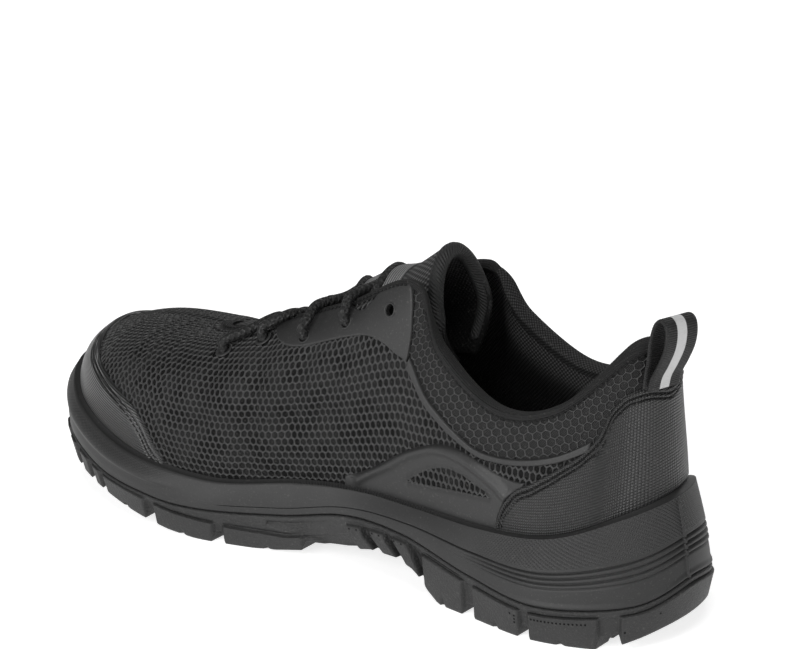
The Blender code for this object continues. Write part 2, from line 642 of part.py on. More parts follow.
def lace_bar(k, outer_side):
    """One run of lace: out of a hole, over the throat's edge and across to the next hole's edge."""
    s, w = EYELETS[k]
    lift = GAP + LACE_R + (FILM + GAP if k in FILM_EYELETS else 0.2)
    s = mirrored(s, outer_side)
    start = [skin(s, w, lift), skin(s, 0.5 + 0.5 * w, lift), skin(s, 1.0, lift)]
    far = last(mirrored(EYELETS[k + 1][0], not outer_side), 1.0)
    near = last(s, 1.0)
    rest = GAP + LACE_R + (GAP + KEEPER_THICK + 0.25 if k >= 2 else 0.2)
    end = np.array([far[0] + 5.8, far[1] - np.sign(far[1]) * 5.0])
    run = near[:2] + (end - near[:2]) * np.array([0.28, 0.5, 0.76, 1.0])[:, None]
    x, y = run.T
    along = tongue_top(x + 0.5, y) - tongue_top(x - 0.5, y)
    across = tongue_top(x, y + 0.5) - tongue_top(x, y - 0.5)
    over = np.c_[run, tongue_top(x, y) + rest * np.sqrt(1 + along ** 2 + across ** 2)]
    points = np.concatenate([start, over])
    return tube("lace_bar", points, LACE_R, 6)


def build_lace():
    """Crossings of the round lace, each two runs joined where they cross."""
    made = []
    for k in range(len(EYELETS) - 1):
        first = lace_bar(k, False)
        first.name = f"lace_crossing_{k + 1}"
        made.append(combine(first, [lace_bar(k, True)], "UNION"))
    return made


def build_overlays():
    """Toe cap, heel counter, lace rows, side panels with their mesh window, and the raised strips."""
    film = (0.034, 0.034, 0.035)
    rim = 0.012
    s = np.linspace(TOE_CAP_EDGE[0][0], TURN - TOE_CAP_EDGE[0][0], 23)
    low = loop_spline(SOLE["rim_w"], s) + rim
    high = np.maximum(edge_line(TOE_CAP_EDGE, s), low + 0.01)
    make_object("toe_cap", *patch(s, low, high, 5, GAP, GAP + CAP_SKIN), (0.040, 0.040, 0.041), 0.55)
    s = np.linspace(-COUNTER_EDGE[-1][0], COUNTER_EDGE[-1][0], 27)
    low = loop_spline(SOLE["rim_w"], s) + rim
    high = np.maximum(edge_line(COUNTER_EDGE, s), low + 0.01)
    make_object("heel_counter", *patch(s, low, high, 6, GAP, GAP + CAP_SKIN), (0.034, 0.034, 0.035), 0.6)
    for side_name, outer_side in (("inner", False), ("outer", True)):
        s = mirrored(np.linspace(LACE_ROW_LOW[0][0], LACE_ROW_LOW[-1][0], 15), outer_side)
        row = patch(s, edge_line(LACE_ROW_LOW, s), edge_line(LACE_ROW_HIGH, s), 4, GAP, GAP + FILM)
        row = make_object(f"lace_row_{side_name}", *row, film, 0.5)
        combine(row, eyelet_cutters(FILM_EYELETS, (outer_side,)), "DIFFERENCE")
        s = np.concatenate([np.linspace(SIDE_PANEL_EDGE[0][0], 2.82, 6), np.linspace(2.98, SIDE_PANEL_EDGE[-1][0], 11)])
        s = mirrored(s, outer_side)
        low = loop_spline(SOLE["rim_w"], s) + rim
        low = np.where(side_station(s) < 2.76, np.maximum(low, edge_line(COUNTER_EDGE, s) + 0.024), low)
        panel = make_object(f"side_panel_{side_name}",
                            *patch(s, low, edge_line(SIDE_PANEL_EDGE, s), 5, GAP, GAP + FILM), film, 0.5)
        s = mirrored(np.linspace(WINDOW_LOW[0][0], WINDOW_LOW[-1][0], 9), outer_side)
        window = patch(s, edge_line(WINDOW_LOW, s), edge_line(WINDOW_HIGH, s), 2, -0.5, GAP + FILM + 1.5)
        combine(panel, [make_object("window", *window, film, 0.5)], "DIFFERENCE")
        s = mirrored(np.linspace(STRIP_LINE[0][0], STRIP_LINE[-1][0], 16), outer_side)
        line = edge_line(STRIP_LINE, s)
        strip = patch(s, line - STRIP_HALF, line + STRIP_HALF, 2, GAP, GAP + FILM)
        make_object(f"collar_strip_{side_name}", *strip, film, 0.5)


def build_collar_binding():
    """Knitted binding folded over the collar's edge, from one lace row round the heel to the other."""
    s = stations()
    s = np.sort(np.where(s > TURN / 2, s - TURN, s))
    s = s[np.abs(s) < COLLAR_END]
    outer_edge = skin(s, 1.0 + 0 * s, 0 * s)
    inner_edge = skin(s, 1.0 + 0 * s, -wall(s, 1.0))
    top = 0.5 * (outer_edge + inner_edge) + UP * crest_height(s)[:, None]

    def fold(off):
        sheets = [skin(s, 0.945 + 0 * s, off), skin(s, 1.0 + 0 * s, off) + UP * 0.3 * off,
                  top + UP * 1.15 * off, skin(s, 1.0 + 0 * s, -wall(s, 1.0) - off) + UP * 0.3 * off,
                  skin(s, 0.93 + 0 * s, -wall(s, 0.93) - off)]
        return np.stack(sheets, 1)

    verts, faces = shell(fold(GAP + 0.1 + BINDING), fold(GAP + 0.1))
    return make_object("collar_binding", verts, faces, (0.022, 0.022, 0.022), 0.85)


def build_pull_loop():
    """Loop of flat webbing stitched to the back of the heel."""
    base = last(LOOP_STATION, edge_line(COUNTER_EDGE, LOOP_STATION) + 0.012)
    out = plan_normal(UPPER, "foot_x", "foot_y", np.array(LOOP_STATION))
    across = np.cross(UP, out)
    path = np.array(LOOP_PATH, float)
    slope = np.gradient(path, axis=0)
    slope /= np.linalg.norm(slope, axis=1, keepdims=True)
    normal = np.stack([-slope[:, 1], slope[:, 0]], 1)

    def leg(off):
        line = path + normal * off
        middle = base + out * line[:, :1] + UP * line[:, 1:]
        return np.stack([middle - across * 0.5 * WEB_WIDTH, middle, middle + across * 0.5 * WEB_WIDTH], 1)

    verts, faces = shell(leg(0.5 * WEB_THICK), leg(-0.5 * WEB_THICK))
    return make_object("pull_loop", verts, faces, (0.020, 0.020, 0.020), 0.8)


def set_on_floor():
    """Move the finished shoe so that the middle of its box stands over the origin, its lowest point on z = 0."""
    things = [t for t in bpy.data.objects if t.type == "MESH"]
    corners = np.concatenate([[v.co[:] for v in t.data.vertices] for t in things])
    low, high = corners.min(0), corners.max(0)
    shift = (-0.5 * (low[0] + high[0]), -0.5 * (low[1] + high[1]), -low[2])
    for thing in things:
        thing.data.transform(Matrix.Translation(shift))
        thing.data.update()


for thing in list(bpy.data.objects):
    bpy.data.objects.remove(thing, do_unlink=True)
build_outsole()
build_midsole()
build_insole()
build_upper()
build_overlays()
build_collar_binding()
build_tongue()
build_keeper()
build_lace()
build_pull_loop()
set_on_floor()
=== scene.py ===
# %% [markdown]
# # A low black work shoe
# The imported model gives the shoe's solids. This lesson dresses them: every soft solid is rebuilt as a
# finer numpy surface of the same form, and every surface gets a finish made of shader nodes. The shoe is
# for the right foot, its toe points to +X and its inner side is +Y.

import bmesh
import bpy
import numpy as np
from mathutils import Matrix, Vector


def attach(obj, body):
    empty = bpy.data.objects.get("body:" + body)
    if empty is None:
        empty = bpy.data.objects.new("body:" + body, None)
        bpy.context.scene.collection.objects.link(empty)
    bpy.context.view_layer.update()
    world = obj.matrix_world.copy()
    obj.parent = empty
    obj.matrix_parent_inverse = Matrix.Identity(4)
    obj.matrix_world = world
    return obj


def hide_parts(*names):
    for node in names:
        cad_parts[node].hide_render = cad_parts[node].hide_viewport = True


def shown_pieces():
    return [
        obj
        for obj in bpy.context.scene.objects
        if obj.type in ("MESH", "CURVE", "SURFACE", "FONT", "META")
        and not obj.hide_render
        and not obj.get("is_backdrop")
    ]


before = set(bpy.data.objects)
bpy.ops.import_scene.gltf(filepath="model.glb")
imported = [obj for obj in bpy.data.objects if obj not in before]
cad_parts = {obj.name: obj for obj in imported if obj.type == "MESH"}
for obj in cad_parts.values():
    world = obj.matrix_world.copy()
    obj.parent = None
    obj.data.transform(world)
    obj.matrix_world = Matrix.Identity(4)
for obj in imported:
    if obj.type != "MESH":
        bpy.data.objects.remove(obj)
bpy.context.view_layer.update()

# %% [markdown]
# ## Camera, floor and light
# The photograph was taken from behind the inner side, a little above, with a long lens. A long lens far
# away keeps the sole's lines nearly parallel. The floor is pale, and large soft lights stand round the
# shoe as in a product studio, because a black shoe is drawn by what it reflects.

# %% Camera
EYE = Vector((-0.73997, 0.94740, 0.54249))
LOOK = Vector((0.57114, -0.74126, -0.35400))
LENS_MM, SENSOR_MM = 148.93, 36.0

lens = bpy.data.cameras.new("long_lens")
lens.lens = LENS_MM
lens.sensor_width = SENSOR_MM
lens.clip_start, lens.clip_end = 0.05, 50.0
camera = bpy.data.objects.new("camera", lens)
camera.location = EYE
camera.rotation_euler = LOOK.to_track_quat("-Z", "Y").to_euler()
bpy.context.scene.collection.objects.link(camera)
bpy.context.scene.camera = camera
print("camera", round(EYE.length, 3), "m from the middle of the floor")

# %% Floor and lights
FLOOR_HALF, FLOOR_DROP = 4.0, 0.0002
WHITE = (1.0, 1.0, 1.0, 1.0)
PAPER = {  # a light table, so that the shadow stays soft
    "Base Color": (0.62, 0.62, 0.62, 1.0), "Roughness": 0.9, "Specular IOR Level": 0.1,
    "Emission Color": WHITE, "Emission Strength": 0.74,
}
LAMPS = {  # place, size, power in watts
    "key":  ((0.15, 1.70, 0.80), 1.2, 27.0),
    "top":  ((-0.45, 0.65, 1.75), 0.7, 9.0),
    "heel": ((-1.45, 0.55, 0.75), 0.8, 6.0),
    "far":  ((0.60, -1.50, 1.10), 0.6, 6.0),
}
LAMP_AIM = Vector((0.0, 0.0, 0.05))
ROOM_LIGHT = 0.14  # a dark room: faces that look up stay dark, and the sides mirror the pale floor

floor_mesh = bpy.data.meshes.new("studio_floor")
floor_corners = [(x * FLOOR_HALF, y * FLOOR_HALF, -FLOOR_DROP)
                 for x, y in ((-1, -1), (1, -1), (1, 1), (-1, 1))]
floor_mesh.from_pydata(floor_corners, [], [(0, 1, 2, 3)])
studio_floor = bpy.data.objects.new("studio_floor", floor_mesh)
bpy.context.scene.collection.objects.link(studio_floor)
paper = bpy.data.materials.new("studio_paper")
paper.use_nodes = True
for socket, value in PAPER.items():
    paper.node_tree.nodes["Principled BSDF"].inputs[socket].default_value = value
floor_mesh.materials.append(paper)
studio_floor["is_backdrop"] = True

for lamp_name, (place, size, power) in LAMPS.items():
    light = bpy.data.lights.new(lamp_name, "AREA")
    light.size = size
    light.energy = power
    lamp = bpy.data.objects.new("lamp_" + lamp_name, light)
    lamp.location = place
    lamp.rotation_euler = (LAMP_AIM - Vector(place)).to_track_quat("-Z", "Y").to_euler()
    bpy.context.scene.collection.objects.link(lamp)

world = bpy.data.worlds.new("studio")
world.use_nodes = True
world.node_tree.nodes["Background"].inputs["Color"].default_value = WHITE
world.node_tree.nodes["Background"].inputs["Strength"].default_value = ROOM_LIGHT
bpy.context.scene.world = world
bpy.context.scene.view_settings.view_transform = "Standard"
print("lamps:", len(LAMPS))

# %% [markdown]
# ## The shoe's own coordinates
# A shoemaker works on a last and speaks of stations round it. Here s is the station (0 at the middle of
# the heel, 10 at the toe tip along the inner side, 20 back at the heel along the outer side), and w is
# the height on the upper (0 in the sole's cup, 1 at the opening's edge). The tables are the solids' own,
# in millimetres, so whatever is drawn with them lies on the solids.

# %% Tables
MM = 0.001
SHIFT = np.array([-150.537, 0.959, 0.0])  # from the heel, where the tables start, to the box's middle
TURN = 20.0
UP = np.array([0.0, 0.0, 1.0])
GAP, WALL, COLLAR_PAD, COLLAR_CREST, COLLAR_END = 0.3, 2.2, 4.6, 0.6, 4.9
FILM, CAP_SKIN, BINDING = 0.9, 1.2, 1.0
STRIP_HALF, STRIP_PROUD = 0.026, 1.2
INSOLE_THICK, LACE_R, EYELET_R = 4.0, 2.0, 2.3
WEB_WIDTH, WEB_THICK, LOOP_STATION = 15.0, 1.3, 0.42
CUP_FLOOR, UNDER_INSET, PARTING_INSET = 2.0, 9.0, 0.8
LUG_PROUD, FOOT_INSET, RIB_DEPTH, TOE_PROUD = 1.2, 1.6, 0.7, 1.1


def table(columns, rows):
    """Columns of a table by name, as arrays."""
    values = np.array(rows, float)
    return {name: values[:, i] for i, name in enumerate(columns.split())}


UPPER = table("foot_x foot_y foot_z edge_x edge_y edge_z rise bulge drop spread", (
    (10, 4, 27, 11, 4, 114, 30, 4, 22, -5), (18, 25, 27, 19, 18, 113, 28, 5, 22, -2),
    (44, 33, 27, 44, 28, 88, 25, 5, 15, 2), (75, 32, 26, 70, 31, 82, 25, 4, 14, 2),
    (105, 29, 24, 97, 29, 98, 30, 3, 20, 4), (135, 28, 22, 112, 25, 121, 35, 4, 20, 10),
    (165, 32, 19, 146, 20, 104, 30, 6, 10, 16), (201, 42, 16, 180, 15, 88, 28, 7, 4, 25),
    (240, 44, 16, 206, 11, 77, 34, 7, 2, 34), (275, 32, 18, 218, 7, 73, 42, 8, 0, 44),
    (292, 5, 20, 221, 1, 72, 42, 9, 0, 52), (277, -23, 18, 218, -5, 71, 37, 7, 8, 44),
    (244, -39, 16, 206, -11, 72, 27, 7, 14, 34), (203, -47, 16, 180, -16, 84, 28, 7, 11, 25),
    (168, -46, 19, 146, -21, 102, 30, 6, 15, 16), (137, -41, 22, 112, -24, 115, 35, 4, 20, 10),
    (107, -37, 24, 97, -29, 96, 30, 3, 20, 4), (75, -35, 26, 70, -31, 82, 25, 4, 14, 2),
    (44, -34, 27, 44, -28, 88, 25, 5, 15, 2), (21, -22, 27, 20, -14, 112, 28, 3, 22, -2)))
SOLE = table("edge_x edge_y parting_z rim_w lip", (
    (-1, 4, 25, 0.320, 3.8), (9, 28, 18, 0.285, 3.2), (42, 43, 14, 0.185, 3.2), (75, 41.5, 17, 0.135, 3.0),
    (108, 38, 23, 0.115, 3.0), (138, 36, 22.5, 0.107, 3.0), (168, 40.5, 16, 0.126, 2.8),
    (205, 51, 13, 0.112, 2.6), (240, 52.5, 14, 0.140, 3.2), (279, 38, 18, 0.205, 3.2),
    (302, 6, 23, 0.285, 4.2), (284, -31, 18, 0.205, 3.4), (248, -48, 14, 0.140, 3.2),
    (205, -55, 13, 0.112, 2.6), (170, -54, 16, 0.126, 2.8), (138, -48.5, 22.5, 0.107, 3.0),
    (108, -44.5, 23, 0.115, 3.0), (75, -43, 17, 0.135, 3.0), (42, -42, 14, 0.185, 3.2),
    (10, -26, 18, 0.280, 3.8)))
print("stations:", len(UPPER["rise"]))

# %% Curves through the tables
def cubic(a, b, c, d, u):
    """Cubic from b to c as u goes from 0 to 1; its slope at each is half the step between its neighbours."""
    return b + 0.5 * u * (c - a + u * (2 * a - 5 * b + 4 * c - d + u * (3 * (b - c) + d - a)))


def loop_spline(values, s):
    """Closed smooth curve through the values at whole stations."""
    i = np.floor(s).astype(int)
    return cubic(*(values[(i + k) % len(values)] for k in (-1, 0, 1, 2)), s - i)


def open_spline(points, at):
    """Smooth line through a short table of (place, value): a cubic per span, the mean slope at each point."""
    x, y = np.array(points, float).T
    slope = np.gradient(y, x)
    i = np.clip(np.searchsorted(x, at, side="right") - 1, 0, len(x) - 2)
    h = x[i + 1] - x[i]
    u = np.clip((at - x[i]) / h, 0.0, 1.0)
    return ((2 * u ** 3 - 3 * u ** 2 + 1) * y[i] + (u ** 3 - 2 * u ** 2 + u) * h * slope[i]
            + (3 * u ** 2 - 2 * u ** 3) * y[i + 1] + (u ** 3 - u ** 2) * h * slope[i + 1])


def straight_line(points, at):
    """Straight stretches through a short table of (place, value)."""
    return np.interp(at, *np.array(points).T)


def ramp(x, low, high):
    """Soft step from 0 at low to 1 at high, three u squared minus two u cubed."""
    u = np.clip((np.asarray(x, float) - low) / (high - low), 0.0, 1.0)
    return u * u * (3 - 2 * u)


def between(x, first, end, soft):
    """1 from first to end and 0 outside, with soft steps."""
    return ramp(x, first - soft, first + soft) * (1 - ramp(x, end - soft, end + soft))


def bead(distance, middle, half, height):
    """Rounded swelling, height times exp(-((distance - middle) / half)^2)."""
    return height * np.exp(-((distance - middle) / half) ** 2)


def quarter_round(x):
    """Rise from 0 to 1 like a quarter circle, and level after 1."""
    return np.sqrt(1 - (1 - np.clip(x, 0, 1)) ** 2)


def side_station(s):
    """Station counted from the heel on either side, 0 to 10."""
    s = np.mod(s, TURN)
    return np.minimum(s, TURN - s)


def mirrored(s, outer_side):
    """The same place on the outer side."""
    return TURN - s if outer_side else s


def unit(vectors):
    """Vectors over their own lengths."""
    return vectors / np.maximum(np.linalg.norm(vectors, axis=-1, keepdims=True), 1e-9)


def run_length(path):
    """Running length along a path, from 0."""
    return np.r_[0.0, np.cumsum(np.linalg.norm(np.diff(path, axis=0), axis=-1))]


def along_path(at, run, path):
    """Points of a path at some of its running lengths."""
    return np.stack([np.interp(at, run, path[:, k]) for k in range(3)], -1)


S_STEP, W_STEP = 0.02, 0.004  # small steps of station and height, for slopes


def plan_normal(rows, line, s):
    """Outward direction in plan of the closed line in two columns."""
    dx, dy = (loop_spline(rows[line + axis], s + S_STEP) - loop_spline(rows[line + axis], s - S_STEP)
              for axis in ("_x", "_y"))
    return unit(np.stack([-dy, dx, 0 * dx], -1))


print("the toe points to", plan_normal(UPPER, "foot", np.array(0.5 * TURN)).round(2))

# %% [markdown]
# ## The last
# Each station has one rib: a Bezier curve from the sole's cup to the opening's edge. The upper is all
# ribs side by side, and everything sewn or welded on it is the same surface moved out by its thickness. A
# worn-in shoe is not quite smooth, so soft troughs, placed where the foot bends, are taken off
# the surface.

# %% The last and its creases
CREASES = (  # first station and height, last station and height, depth and half width in mm
    (7.05, 0.80, 6.72, 0.40, 1.1, 3.6), (7.55, 0.70, 7.32, 0.32, 1.0, 4.2),
    (6.35, 0.70, 6.20, 0.34, 0.9, 3.6), (7.60, 0.36, 5.60, 0.40, 1.3, 4.5),
    (4.70, 0.58, 3.30, 0.55, 0.5, 4.0), (8.55, 0.62, 9.40, 0.72, 0.5, 7.0),
    (5.75, 0.66, 5.85, 0.40, 0.8, 3.6), (6.70, 0.34, 6.60, 0.17, 0.9, 3.6),
)
ALONG, RISE = 32.0, 95.0  # mean millimetres for one station and for the whole height of a rib
PLAIN_CREST = 0.3  # how far the edge is rounded up where there is no collar


def last(s, w):
    """Outside of the upper: (1-w)^3 foot + 3w(1-w)^2 near foot + 3w^2(1-w) near edge + w^3 edge."""
    s, w = np.broadcast_arrays(np.asarray(s, float), np.asarray(w, float))
    c = {name: loop_spline(values, s) for name, values in UPPER.items()}
    out = plan_normal(UPPER, "foot", s)
    foot = np.stack([c["foot_x"], c["foot_y"], c["foot_z"]], -1)
    edge = np.stack([c["edge_x"], c["edge_y"], c["edge_z"]], -1)
    near_foot = foot + out * c["bulge"][..., None] + UP * c["rise"][..., None]
    near_edge = edge + out * c["spread"][..., None] - UP * c["drop"][..., None]
    w = w[..., None]
    return ((1 - w) ** 3 * foot + 3 * w * (1 - w) ** 2 * near_foot + 3 * w * w * (1 - w) * near_edge
            + w ** 3 * edge)


def slopes(s, w):
    """Steps of the last along the shoe and up it, each over two small steps."""
    return last(s + S_STEP, w) - last(s - S_STEP, w), last(s, w + W_STEP) - last(s, w - W_STEP)


def relief(s, w):
    """Sum of the creases: each is minus depth times exp(-(distance / half width)^2) from a short line."""
    place = np.stack(np.broadcast_arrays(side_station(s) * ALONG, np.asarray(w, float) * RISE), -1)
    total = np.zeros(place.shape[:-1])
    for s0, w0, s1, w1, depth, half in CREASES:
        a, b = np.array([s0 * ALONG, w0 * RISE]), np.array([s1 * ALONG, w1 * RISE])
        share = np.clip(((place - a) @ (b - a)) / ((b - a) @ (b - a)), 0.0, 1.0)
        distance = np.linalg.norm(place - a - share[..., None] * (b - a), axis=-1)
        total -= bead(distance, 0.0, half, depth)
    return total


def skin(s, w, off):
    """Surface parallel to the last: its point plus off times the normal, which is slope up x slope along."""
    s, w, off = np.broadcast_arrays(np.asarray(s, float), np.asarray(w, float), np.asarray(off, float))
    along, up = slopes(s, w)
    return last(s, w) + unit(np.cross(up, along)) * off[..., None]


def cloth(s, w, off):
    """The last's surface with its creases, moved out by off."""
    return skin(s, w, np.asarray(off, float) + relief(s, w))


def metric(s, w):
    """Millimetres per station and per unit of height at each place."""
    along, up = slopes(s, w)
    return np.linalg.norm(along, axis=-1) / (2 * S_STEP), np.linalg.norm(up, axis=-1) / (2 * W_STEP)


def collar_share(s):
    """1 along the padded collar, falling softly to 0 in front of it."""
    return 1 - ramp(side_station(s), COLLAR_END - 0.9, COLLAR_END + 0.3)


def wall(s, w):
    """Wall of the upper, with foam round the collar."""
    return WALL + COLLAR_PAD * collar_share(s) * ramp(w, 0.45, 0.82) * (1 - 0.5 * ramp(w, 0.72, 1.0))


def crest_height(s):
    """How far the opening's edge is rounded up above its faces."""
    return PLAIN_CREST + (COLLAR_CREST - PLAIN_CREST) * collar_share(s)


print("toe tip of the last", last(10.0, 0.0).round(1), "collar at the heel", last(0.0, 1.0).round(1))

# %% [markdown]
# ## From arrays to pieces
# A grid of points becomes a sheet of quads, and two sheets become a closed slab. The arrays go into
# Blender whole with foreach_set. A UV map in millimetres lets a weave follow the cloth. Every piece rides
# on the one body.

# %% Mesh helpers
WELD_DISTANCE, SLIVER = 0.000002, 0.000001  # in metres


def grid_quads(n, m, wrap_n=False, wrap_m=False):
    """Quads of an n by m grid, facing the side of (second step) x (first step); a wrapped side joins its
    start. Also the same quads on the grid with its wrapped rows written twice, for the UV map."""
    i, j = np.meshgrid(np.arange(n - 1 + wrap_n), np.arange(m - 1 + wrap_m), indexing="ij")
    ring = ((i, j), (i, j + 1), (i + 1, j + 1), (i + 1, j))
    quads = np.stack([(a % n) * m + b % m for a, b in ring], -1).reshape(-1, 4)
    corners = np.stack([a * (m + wrap_m) + b for a, b in ring], -1).reshape(-1, 4)
    return quads, corners


def grid_lengths(points, wrap_n=False, wrap_m=False, row=None):
    """Millimetres along and across a grid: running sums of the steps between its points."""
    if wrap_n:
        points = np.concatenate([points, points[:1]], 0)
    if wrap_m:
        points = np.concatenate([points, points[:, :1]], 1)
    along = run_length(points[:, points.shape[1] // 2 if row is None else row])
    across = np.cumsum(np.linalg.norm(np.diff(points, axis=1), axis=-1), axis=1)
    across = np.concatenate([np.zeros((len(points), 1)), across], 1)
    return np.stack([np.broadcast_to(along[:, None], across.shape), across], -1).reshape(-1, 2)


def piece(name, verts, faces, materials, uv=None, corners=None, replaces=(), weld=False, chosen=None,
          marks=None):
    """Object from whole arrays: verts in mm of the tables, faces a list of index arrays, chosen one material
    number per face, marks named numbers per vertex. A welded piece is closed: its normals turn outwards."""
    mesh = bpy.data.meshes.new(name)
    loops = np.concatenate([f.ravel() for f in faces])
    sizes = np.concatenate([np.full(len(f), f.shape[1]) for f in faces])
    mesh.vertices.add(len(verts))
    mesh.vertices.foreach_set("co", ((verts + SHIFT) * MM).astype(np.float32).ravel())
    mesh.loops.add(len(loops))
    mesh.loops.foreach_set("vertex_index", loops.astype(np.int32))
    mesh.polygons.add(len(sizes))
    mesh.polygons.foreach_set("loop_start", np.r_[0, np.cumsum(sizes)[:-1]].astype(np.int32))
    mesh.polygons.foreach_set("loop_total", sizes.astype(np.int32))
    mesh.polygons.foreach_set("use_smooth", np.ones(len(sizes), bool))
    if chosen is not None:
        mesh.polygons.foreach_set("material_index", chosen.astype(np.int32))
    if uv is not None:
        places = loops if corners is None else np.concatenate([c.ravel() for c in corners])
        mesh.uv_layers.new(name="cloth").data.foreach_set("uv", uv[places].astype(np.float32).ravel())
    mesh.update(calc_edges=True)
    mesh.validate()
    for mark, values in (marks or {}).items():
        layer = mesh.attributes.new(mark, "FLOAT", "POINT")
        layer.data.foreach_set("value", values.astype(np.float32).ravel())
    for material in materials if isinstance(materials, (list, tuple)) else [materials]:
        mesh.materials.append(material)
    if weld:
        body = bmesh.new()
        body.from_mesh(mesh)
        bmesh.ops.remove_doubles(body, verts=body.verts, dist=WELD_DISTANCE)
        bmesh.ops.dissolve_degenerate(body, edges=body.edges, dist=SLIVER)
        bmesh.ops.recalc_face_normals(body, faces=body.faces)
        body.to_mesh(mesh)
        body.free()
    thing = bpy.data.objects.new(name, mesh)
    bpy.context.scene.collection.objects.link(thing)
    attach(thing, "root")
    if replaces:
        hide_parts(*replaces)
    return thing


def slab(outer, inner):
    """Closed solid between two grids of the same size: its two faces, and strips along the four borders."""
    n, m = outer.shape[:2]
    verts = np.concatenate([outer.reshape(-1, 3), inner.reshape(-1, 3)])
    quads, _ = grid_quads(n, m)
    order = np.arange(n * m).reshape(n, m)
    strips = [np.stack([b[:-1], b[1:], b[1:] + n * m, b[:-1] + n * m], -1)
              for b in (order[:, 0], order[:, -1], order[0], order[-1])]
    uv = np.concatenate([grid_lengths(outer), grid_lengths(inner)])
    return verts, [quads, quads[:, ::-1] + n * m] + strips, uv


def slab_piece(name, grids, materials, replaces=(), top=None, fold=False):
    """Slab as a closed piece. Where it has two materials, top chooses one for each face of the outer grid,
    and the rest has the second. A folded slab's length counts from its middle both ways."""
    verts, faces, uv = slab(*grids)
    if fold:
        uv[:, 0] = np.abs(uv[:, 0] - 0.5 * uv[:, 0].max())
    rest = np.ones(sum(len(f) for f in faces[1:]))
    chosen = None if top is None else np.concatenate([np.ravel(top), rest])
    return piece(name, verts, faces, materials, uv, replaces=replaces, weld=True, chosen=chosen)


def cut(thing, cutters):
    """Take closed meshes out of a piece, and remove them."""
    for other in cutters:
        step = thing.modifiers.new("cut", "BOOLEAN")
        step.operation = "DIFFERENCE"
        step.solver = "EXACT"
        step.object = other
    graph = bpy.context.evaluated_depsgraph_get()
    mesh = bpy.data.meshes.new_from_object(thing.evaluated_get(graph))
    thing.modifiers.clear()
    thing.data = mesh
    for other in cutters:
        bpy.data.objects.remove(other, do_unlink=True)


print("helpers ready")

# %% [markdown]
# ## Finishes
# Everything is black, so the finishes differ by texture and gloss alone: matte moulded foam and rubber,
# satin film, a ribbed coated cap, a counter of small square pads, knitted cloth, braided cord. What
# several of them share is a node group: the grain of moulded things, a weave, ribs, and dust.

# %% Node helpers
def node(tree, kind, inputs=None, **settings):
    """New node with its settings; an input is a number, or a socket to link."""
    made = tree.nodes.new(kind)
    for key, value in settings.items():
        setattr(made, key, value)
    for key, value in (inputs or {}).items():
        if isinstance(value, bpy.types.NodeSocket):
            tree.links.new(value, made.inputs[key])
        else:
            made.inputs[key].default_value = value
    return made


def math(tree, operation, *values):
    """One step of arithmetic with numbers and sockets."""
    return node(tree, "ShaderNodeMath", dict(enumerate(values)), operation=operation).outputs[0]


def noise(tree, place, scale, detail):
    """Soft random blotches, as many for each unit of the place as scale says."""
    return node(tree, "ShaderNodeTexNoise", {"Vector": place, "Scale": scale, "Detail": detail}).outputs[0]


def spread(tree, value, low, high):
    """0 at low and 1 at high, straight between them and level outside."""
    return node(tree, "ShaderNodeMapRange", {"Value": value, "From Min": low, "From Max": high}).outputs[0]


def mixed(tree, share, first, second):
    """Colour between two: first x (1 - share) + second x share."""
    return node(tree, "ShaderNodeMix", {0: share, 6: first, 7: second}, data_type="RGBA").outputs[2]


def split(tree, vector):
    """The three numbers of a vector."""
    return node(tree, "ShaderNodeSeparateXYZ", {0: vector}).outputs


def new_group(name, inputs, outputs):
    """Empty node group with named sockets: inputs are (name, default), a default of None is a vector."""
    tree = bpy.data.node_groups.new(name, "ShaderNodeTree")
    for socket, default in inputs:
        kind = "NodeSocketVector" if default is None else "NodeSocketFloat"
        made = tree.interface.new_socket(name=socket, in_out="INPUT", socket_type=kind)
        if default is not None:
            made.default_value = default
    for socket in outputs:
        tree.interface.new_socket(name=socket, in_out="OUTPUT", socket_type="NodeSocketFloat")
    return tree, tree.nodes.new("NodeGroupInput").outputs, tree.nodes.new("NodeGroupOutput").inputs


def use(tree, group, inputs):
    """A node group, placed with its own values."""
    return node(tree, "ShaderNodeGroup", inputs, node_tree=bpy.data.node_groups[group]).outputs


def surface_mm(tree):
    """The piece's own UV map, which is in millimetres."""
    return node(tree, "ShaderNodeUVMap", uv_map="cloth").outputs[0]


def object_mm(tree):
    """Object coordinates in millimetres."""
    spot = node(tree, "ShaderNodeTexCoord").outputs["Object"]
    return node(tree, "ShaderNodeVectorMath", {0: spot, "Scale": 1000.0}, operation="SCALE").outputs[0]


# %% Shared effects
tree, given, out = new_group("moulded_grain", (("Place", None), ("Size", 0.5)), ("Height", "Mottle"))
fine = node(tree, "ShaderNodeTexNoise", {"Vector": given["Place"], "Detail": 2.0, "Roughness": 0.6,
                                         "Scale": math(tree, "DIVIDE", 1.0, given["Size"])}).outputs[0]
broad = math(tree, "MULTIPLY", noise(tree, given["Place"], 0.045, 3.0), 0.5)
tree.links.new(fine, out["Height"])
tree.links.new(math(tree, "MULTIPLY_ADD", fine, 0.5, broad), out["Mottle"])

tree, given, out = new_group("weave", (("Place", None), ("Pitch along", 1.0), ("Pitch across", 1.0)),
                             ("Height", "Thread"))
waves = []
for spot, pitch in zip(split(tree, given["Place"]), ("Pitch along", "Pitch across")):
    turns = math(tree, "DIVIDE", spot, given[pitch])
    waves.append(math(tree, "SINE", math(tree, "MULTIPLY", turns, 2 * np.pi)))
height = math(tree, "MULTIPLY_ADD", math(tree, "MULTIPLY", *waves), 0.5, 0.5)
tree.links.new(height, out["Height"])
tree.links.new(math(tree, "POWER", height, 2.0), out["Thread"])

